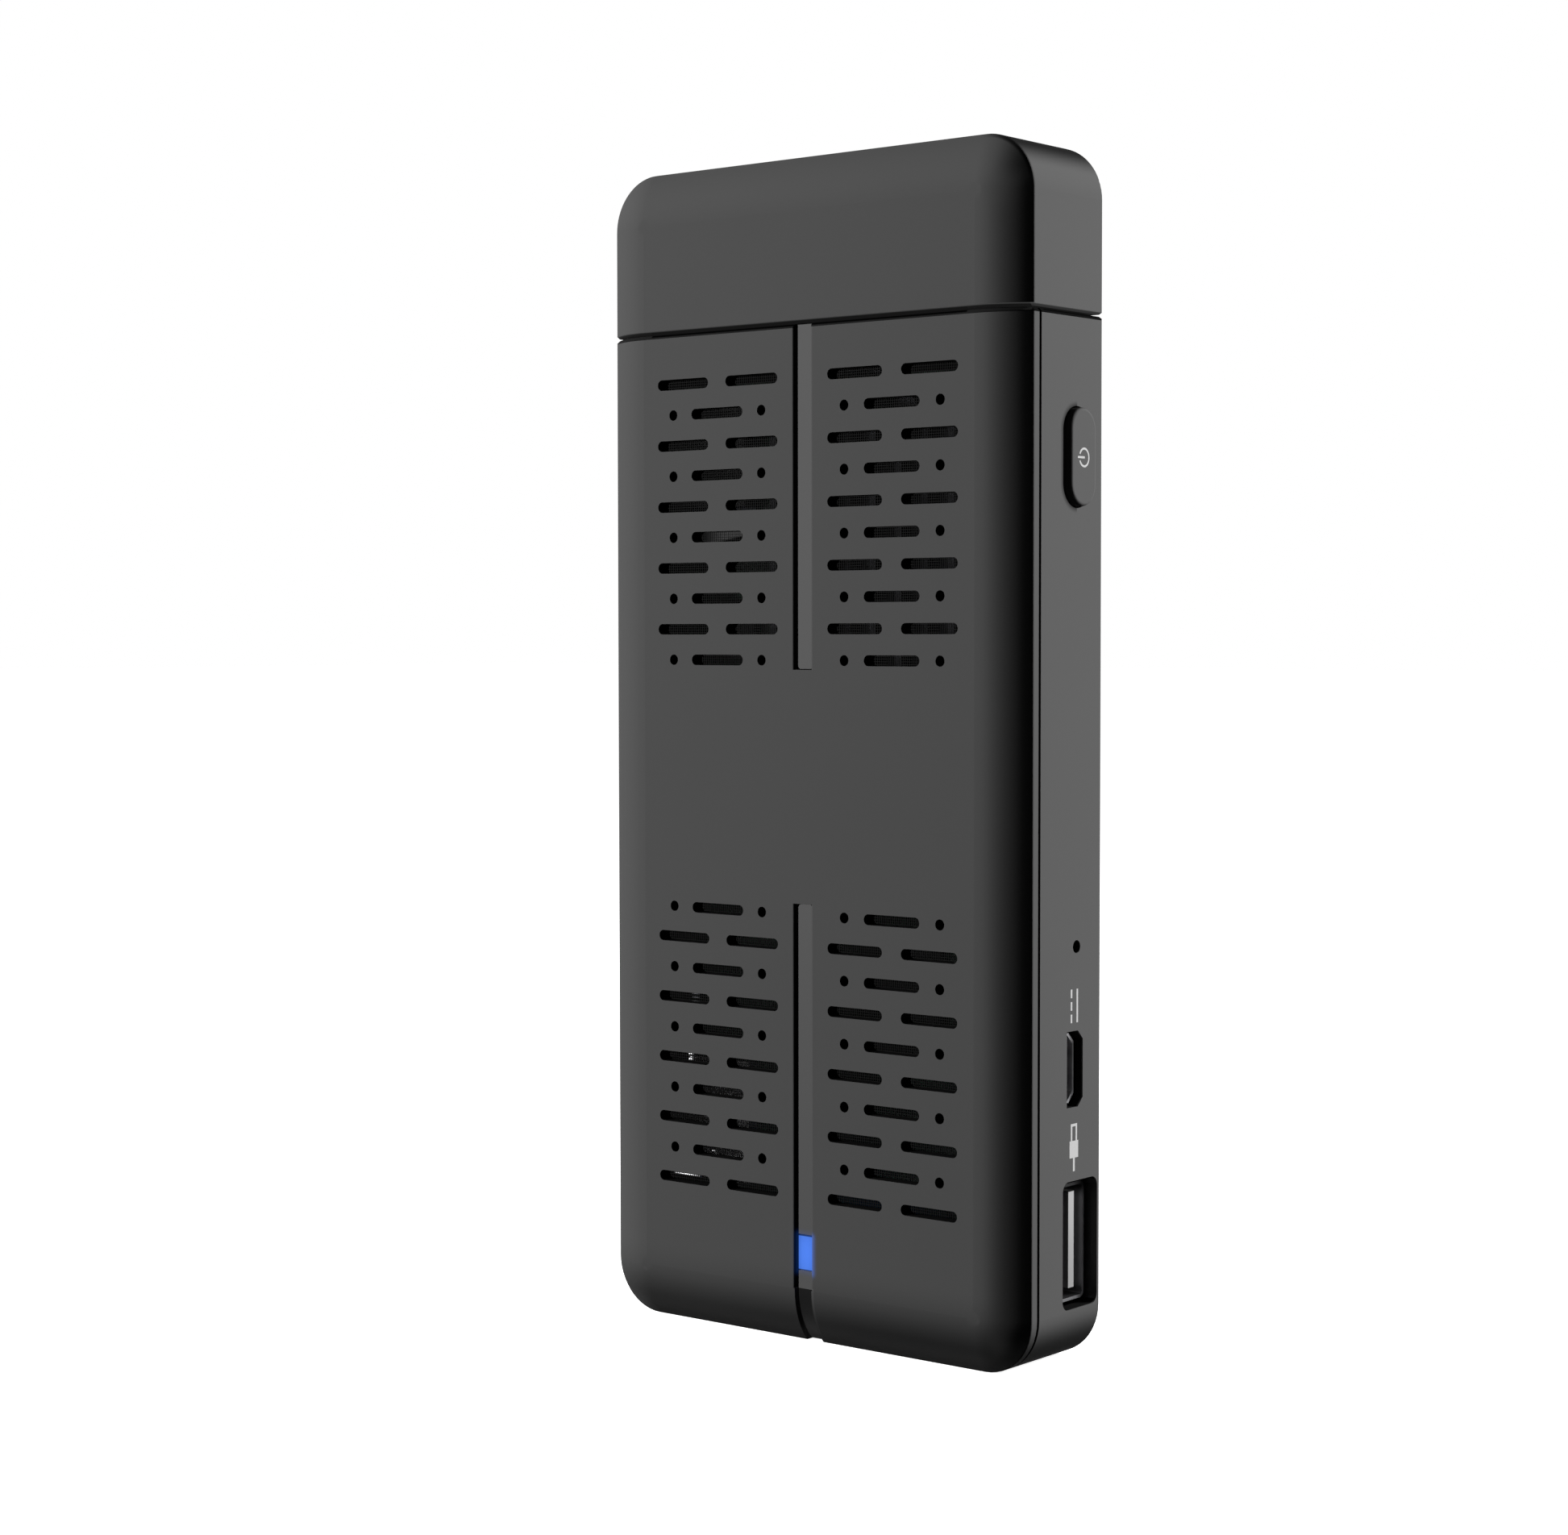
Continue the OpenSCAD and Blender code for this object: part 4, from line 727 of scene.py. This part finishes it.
def screenTree():  # two crossed layers of straight wires
    tree = bpy.data.node_groups.new("dustScreen", "GeometryNodeTree")
    for label in ("Width", "Height", "Pitch", "Wire"):
        tree.interface.new_socket(label, in_out="INPUT", socket_type="NodeSocketFloat")
    tree.interface.new_socket("Finish", in_out="INPUT", socket_type="NodeSocketMaterial")
    tree.interface.new_socket("Geometry", in_out="OUTPUT", socket_type="NodeSocketGeometry")
    bench = Bench(tree)
    entry = tree.nodes.new("NodeGroupInput")
    size = {socket.name: Wire(bench, socket) for socket in entry.outputs if socket.name}
    width, height, pitch, wire = [size[label] for label in ("Width", "Height", "Pitch", "Wire")]

    def point(x, y, z):
        return bench.node("ShaderNodeCombineXYZ", {}, {0: x, 1: y, 2: z})

    def layer(span, start, step, section):
        row = bench.node("GeometryNodeMeshLine", {"mode": "OFFSET"},
                         {"Count": span / pitch, "Start Location": start, "Offset": step})
        strand = bench.node("GeometryNodeMeshCube", {}, {"Size": section})
        return bench.node("GeometryNodeInstanceOnPoints", {}, {"Points": row, "Instance": strand})

    upright = layer(width, point(width * -0.5, 0, 0), point(pitch, 0, 0), point(wire, wire, height))
    level = layer(height, point(0, wire, height * -0.5), point(0, 0, pitch), point(width, wire, wire))
    both = tree.nodes.new("GeometryNodeJoinGeometry")
    for part in (upright, level):
        tree.links.new(part.socket, both.inputs[0])
    plain = bench.node("GeometryNodeRealizeInstances", {}, {0: Wire(bench, both.outputs[0])})
    dressed = bench.node("GeometryNodeSetMaterial", {}, {"Geometry": plain, "Material": size["Finish"]})
    bench.feed(tree.nodes.new("NodeGroupOutput").inputs[0], dressed)
    return tree


def grown(name, tree, values):  # runs a node tree and gives back its plain mesh
    carrier = bpy.data.objects.new(name, bpy.data.meshes.new(name))
    scene.collection.objects.link(carrier)
    modifier = carrier.modifiers.new("grow", "NODES")
    modifier.node_group = tree
    for socket in tree.interface.items_tree:
        if socket.in_out == "INPUT":
            modifier[socket.identifier] = values[socket.name]
    evaluated = carrier.evaluated_get(bpy.context.evaluated_depsgraph_get())
    mesh = bpy.data.meshes.new_from_object(evaluated)
    bpy.data.objects.remove(carrier)
    return mesh


dustScreen = screenTree()
for name in ("upper_mesh", "lower_mesh"):
    low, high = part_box(name)
    middle = (low + high) / 2
    mesh = grown(name + "_wires", dustScreen, {
        "Width": high.x - low.x, "Height": high.z - low.z, "Pitch": screen["pitch"], "Wire": screen["wire"],
        "Finish": screenFinish})
    mesh.transform(Matrix.Translation((middle.x, low.y + screen["wire"] / 2, middle.z)))
    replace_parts(newPiece(name + "_wires", mesh, screenFinish, "case"), name)
print("dust screens woven")

cameraSet = {"place": (217.13 * mm, -278.78 * mm, 81.28 * mm), "turn": (87.521, 0.067, 39.047),
             "lens": 70.12, "sensor": 36, "nearest": 0.01}
camera = bpy.data.objects.new("camera", bpy.data.cameras.new("camera"))
camera.data.lens = cameraSet["lens"]
camera.data.sensor_width = cameraSet["sensor"]
camera.data.clip_start = cameraSet["nearest"]
camera.location = cameraSet["place"]
camera.rotation_euler = [math.radians(a) for a in cameraSet["turn"]]
scene.collection.objects.link(camera)
scene.camera = camera

# lamps: where each stands round the middle of the stick, its size and power; the two fills light only
# what lies behind the openings
behindFront = ["upper_strip", "lower_strip", "foot_strip", "upper_mesh_wires", "lower_mesh_wires",
               "antenna_lead", "lead_tape", "card_socket_edges", "small_part_leads"]
behindSide = ["usb_tongue"]
lampRing = {"middle": (0, 0, 68 * mm), "distance": 0.75}
lamps = {
    "leftSoftbox": {"azimuth": -40, "height": 23.5, "size": 0.12, "watts": 5.6, "skips": behindFront},
    "rightSoftbox": {"azimuth": 138, "height": 22, "size": 0.2, "watts": 11.2, "skips": behindSide,
                     "passes": ["power_button", "power_sign"]},
    "frontFill": {"azimuth": -50, "height": 26, "size": 0.18, "watts": 7.0, "only": behindFront},
    "sideFill": {"azimuth": 100, "height": 14, "size": 0.2, "watts": 5.5, "only": behindSide},
}


def linked(label, names, state):
    group = bpy.data.collections.new(label)
    for name in names:
        group.objects.link(bpy.data.objects[name])
    for entry in group.collection_objects:
        entry.light_linking.link_state = state
    return group


for name, lamp in lamps.items():
    data = bpy.data.lights.new(name, "AREA")
    data.size = lamp["size"]
    data.energy = lamp["watts"]
    data.use_shadow = "only" not in lamp
    turn = math.radians(lamp["azimuth"])
    tilt = math.radians(lamp["height"])
    away = Vector((math.sin(turn) * math.cos(tilt), -math.cos(turn) * math.cos(tilt), math.sin(tilt)))
    holder = bpy.data.objects.new(name, data)
    holder.location = Vector(lampRing["middle"]) + away * lampRing["distance"]
    holder.rotation_euler = away.to_track_quat("Z", "Y").to_euler()
    scene.collection.objects.link(holder)
    if "only" in lamp:
        holder.light_linking.receiver_collection = linked(name + "Only", lamp["only"], "INCLUDE")
    if "skips" in lamp:
        holder.light_linking.receiver_collection = linked(name + "Skips", lamp["skips"], "EXCLUDE")
    if "passes" in lamp:
        holder.light_linking.blocker_collection = linked(name + "Passes", lamp["passes"], "EXCLUDE")


def seenAsBackground(bench):  # 1 for what the camera, mirrors and glass see
    path = bench.tree.nodes.new("ShaderNodeLightPath")
    seen = [Wire(bench, path.outputs[k]) for k in ("Is Camera Ray", "Is Glossy Ray", "Is Transmission Ray")]
    clamped = {"operation": "ADD", "use_clamp": True}
    return bench.node("ShaderNodeMath", clamped, {0: seen[0] + seen[1], 1: seen[2]})


# the world is a dim fill for the object and white to the eye; the floor is a little darker near the object
studio = {"fill": 0.01, "floorReach": 6.0, "floorColour": 0.9, "nearTone": 0.93, "fade": (0.12, 0.5)}
world = bpy.data.worlds.new("studio")
scene.world = world
world.use_nodes = True
bench = Bench(world.node_tree)
shown = bench.mixed(seenAsBackground(bench), (*grey(studio["fill"]), 1), (*grey(1), 1))
bench.feed(world.node_tree.nodes["Background"].inputs["Color"], shown)


def floorPaper():
    paper = bpy.data.materials.new("floorPaper")
    paper.use_nodes = True
    bench = Bench(paper.node_tree)
    lit = bench.node("ShaderNodeBsdfDiffuse", {}, {"Color": (*grey(studio["floorColour"]), 1)})
    away = bench.node("ShaderNodeVectorMath", {"operation": "LENGTH"}, {0: bench.place()}, "Value")
    tone = bench.ramp(away, *studio["fade"]) * (1 - studio["nearTone"]) + studio["nearTone"]
    shown = bench.tinted(grey(1), tone * seenAsBackground(bench))
    glow = bench.node("ShaderNodeEmission", {}, {"Color": shown})
    both = bench.node("ShaderNodeAddShader", {}, {0: lit, 1: glow})
    bench.feed(paper.node_tree.nodes["Material Output"].inputs["Surface"], both)
    return paper


far = studio["floorReach"]
floorMesh = bpy.data.meshes.new("floor")
floorMesh.from_pydata([(-far, -far, 0), (far, -far, 0), (far, far, 0), (-far, far, 0)], [], [(0, 1, 2, 3)])
floorMesh.materials.append(floorPaper())
floor = bpy.data.objects.new("floor", floorMesh)
scene.collection.objects.link(floor)
floor.visible_diffuse = False
scene.view_settings.view_transform = "Standard"
print("studio set")
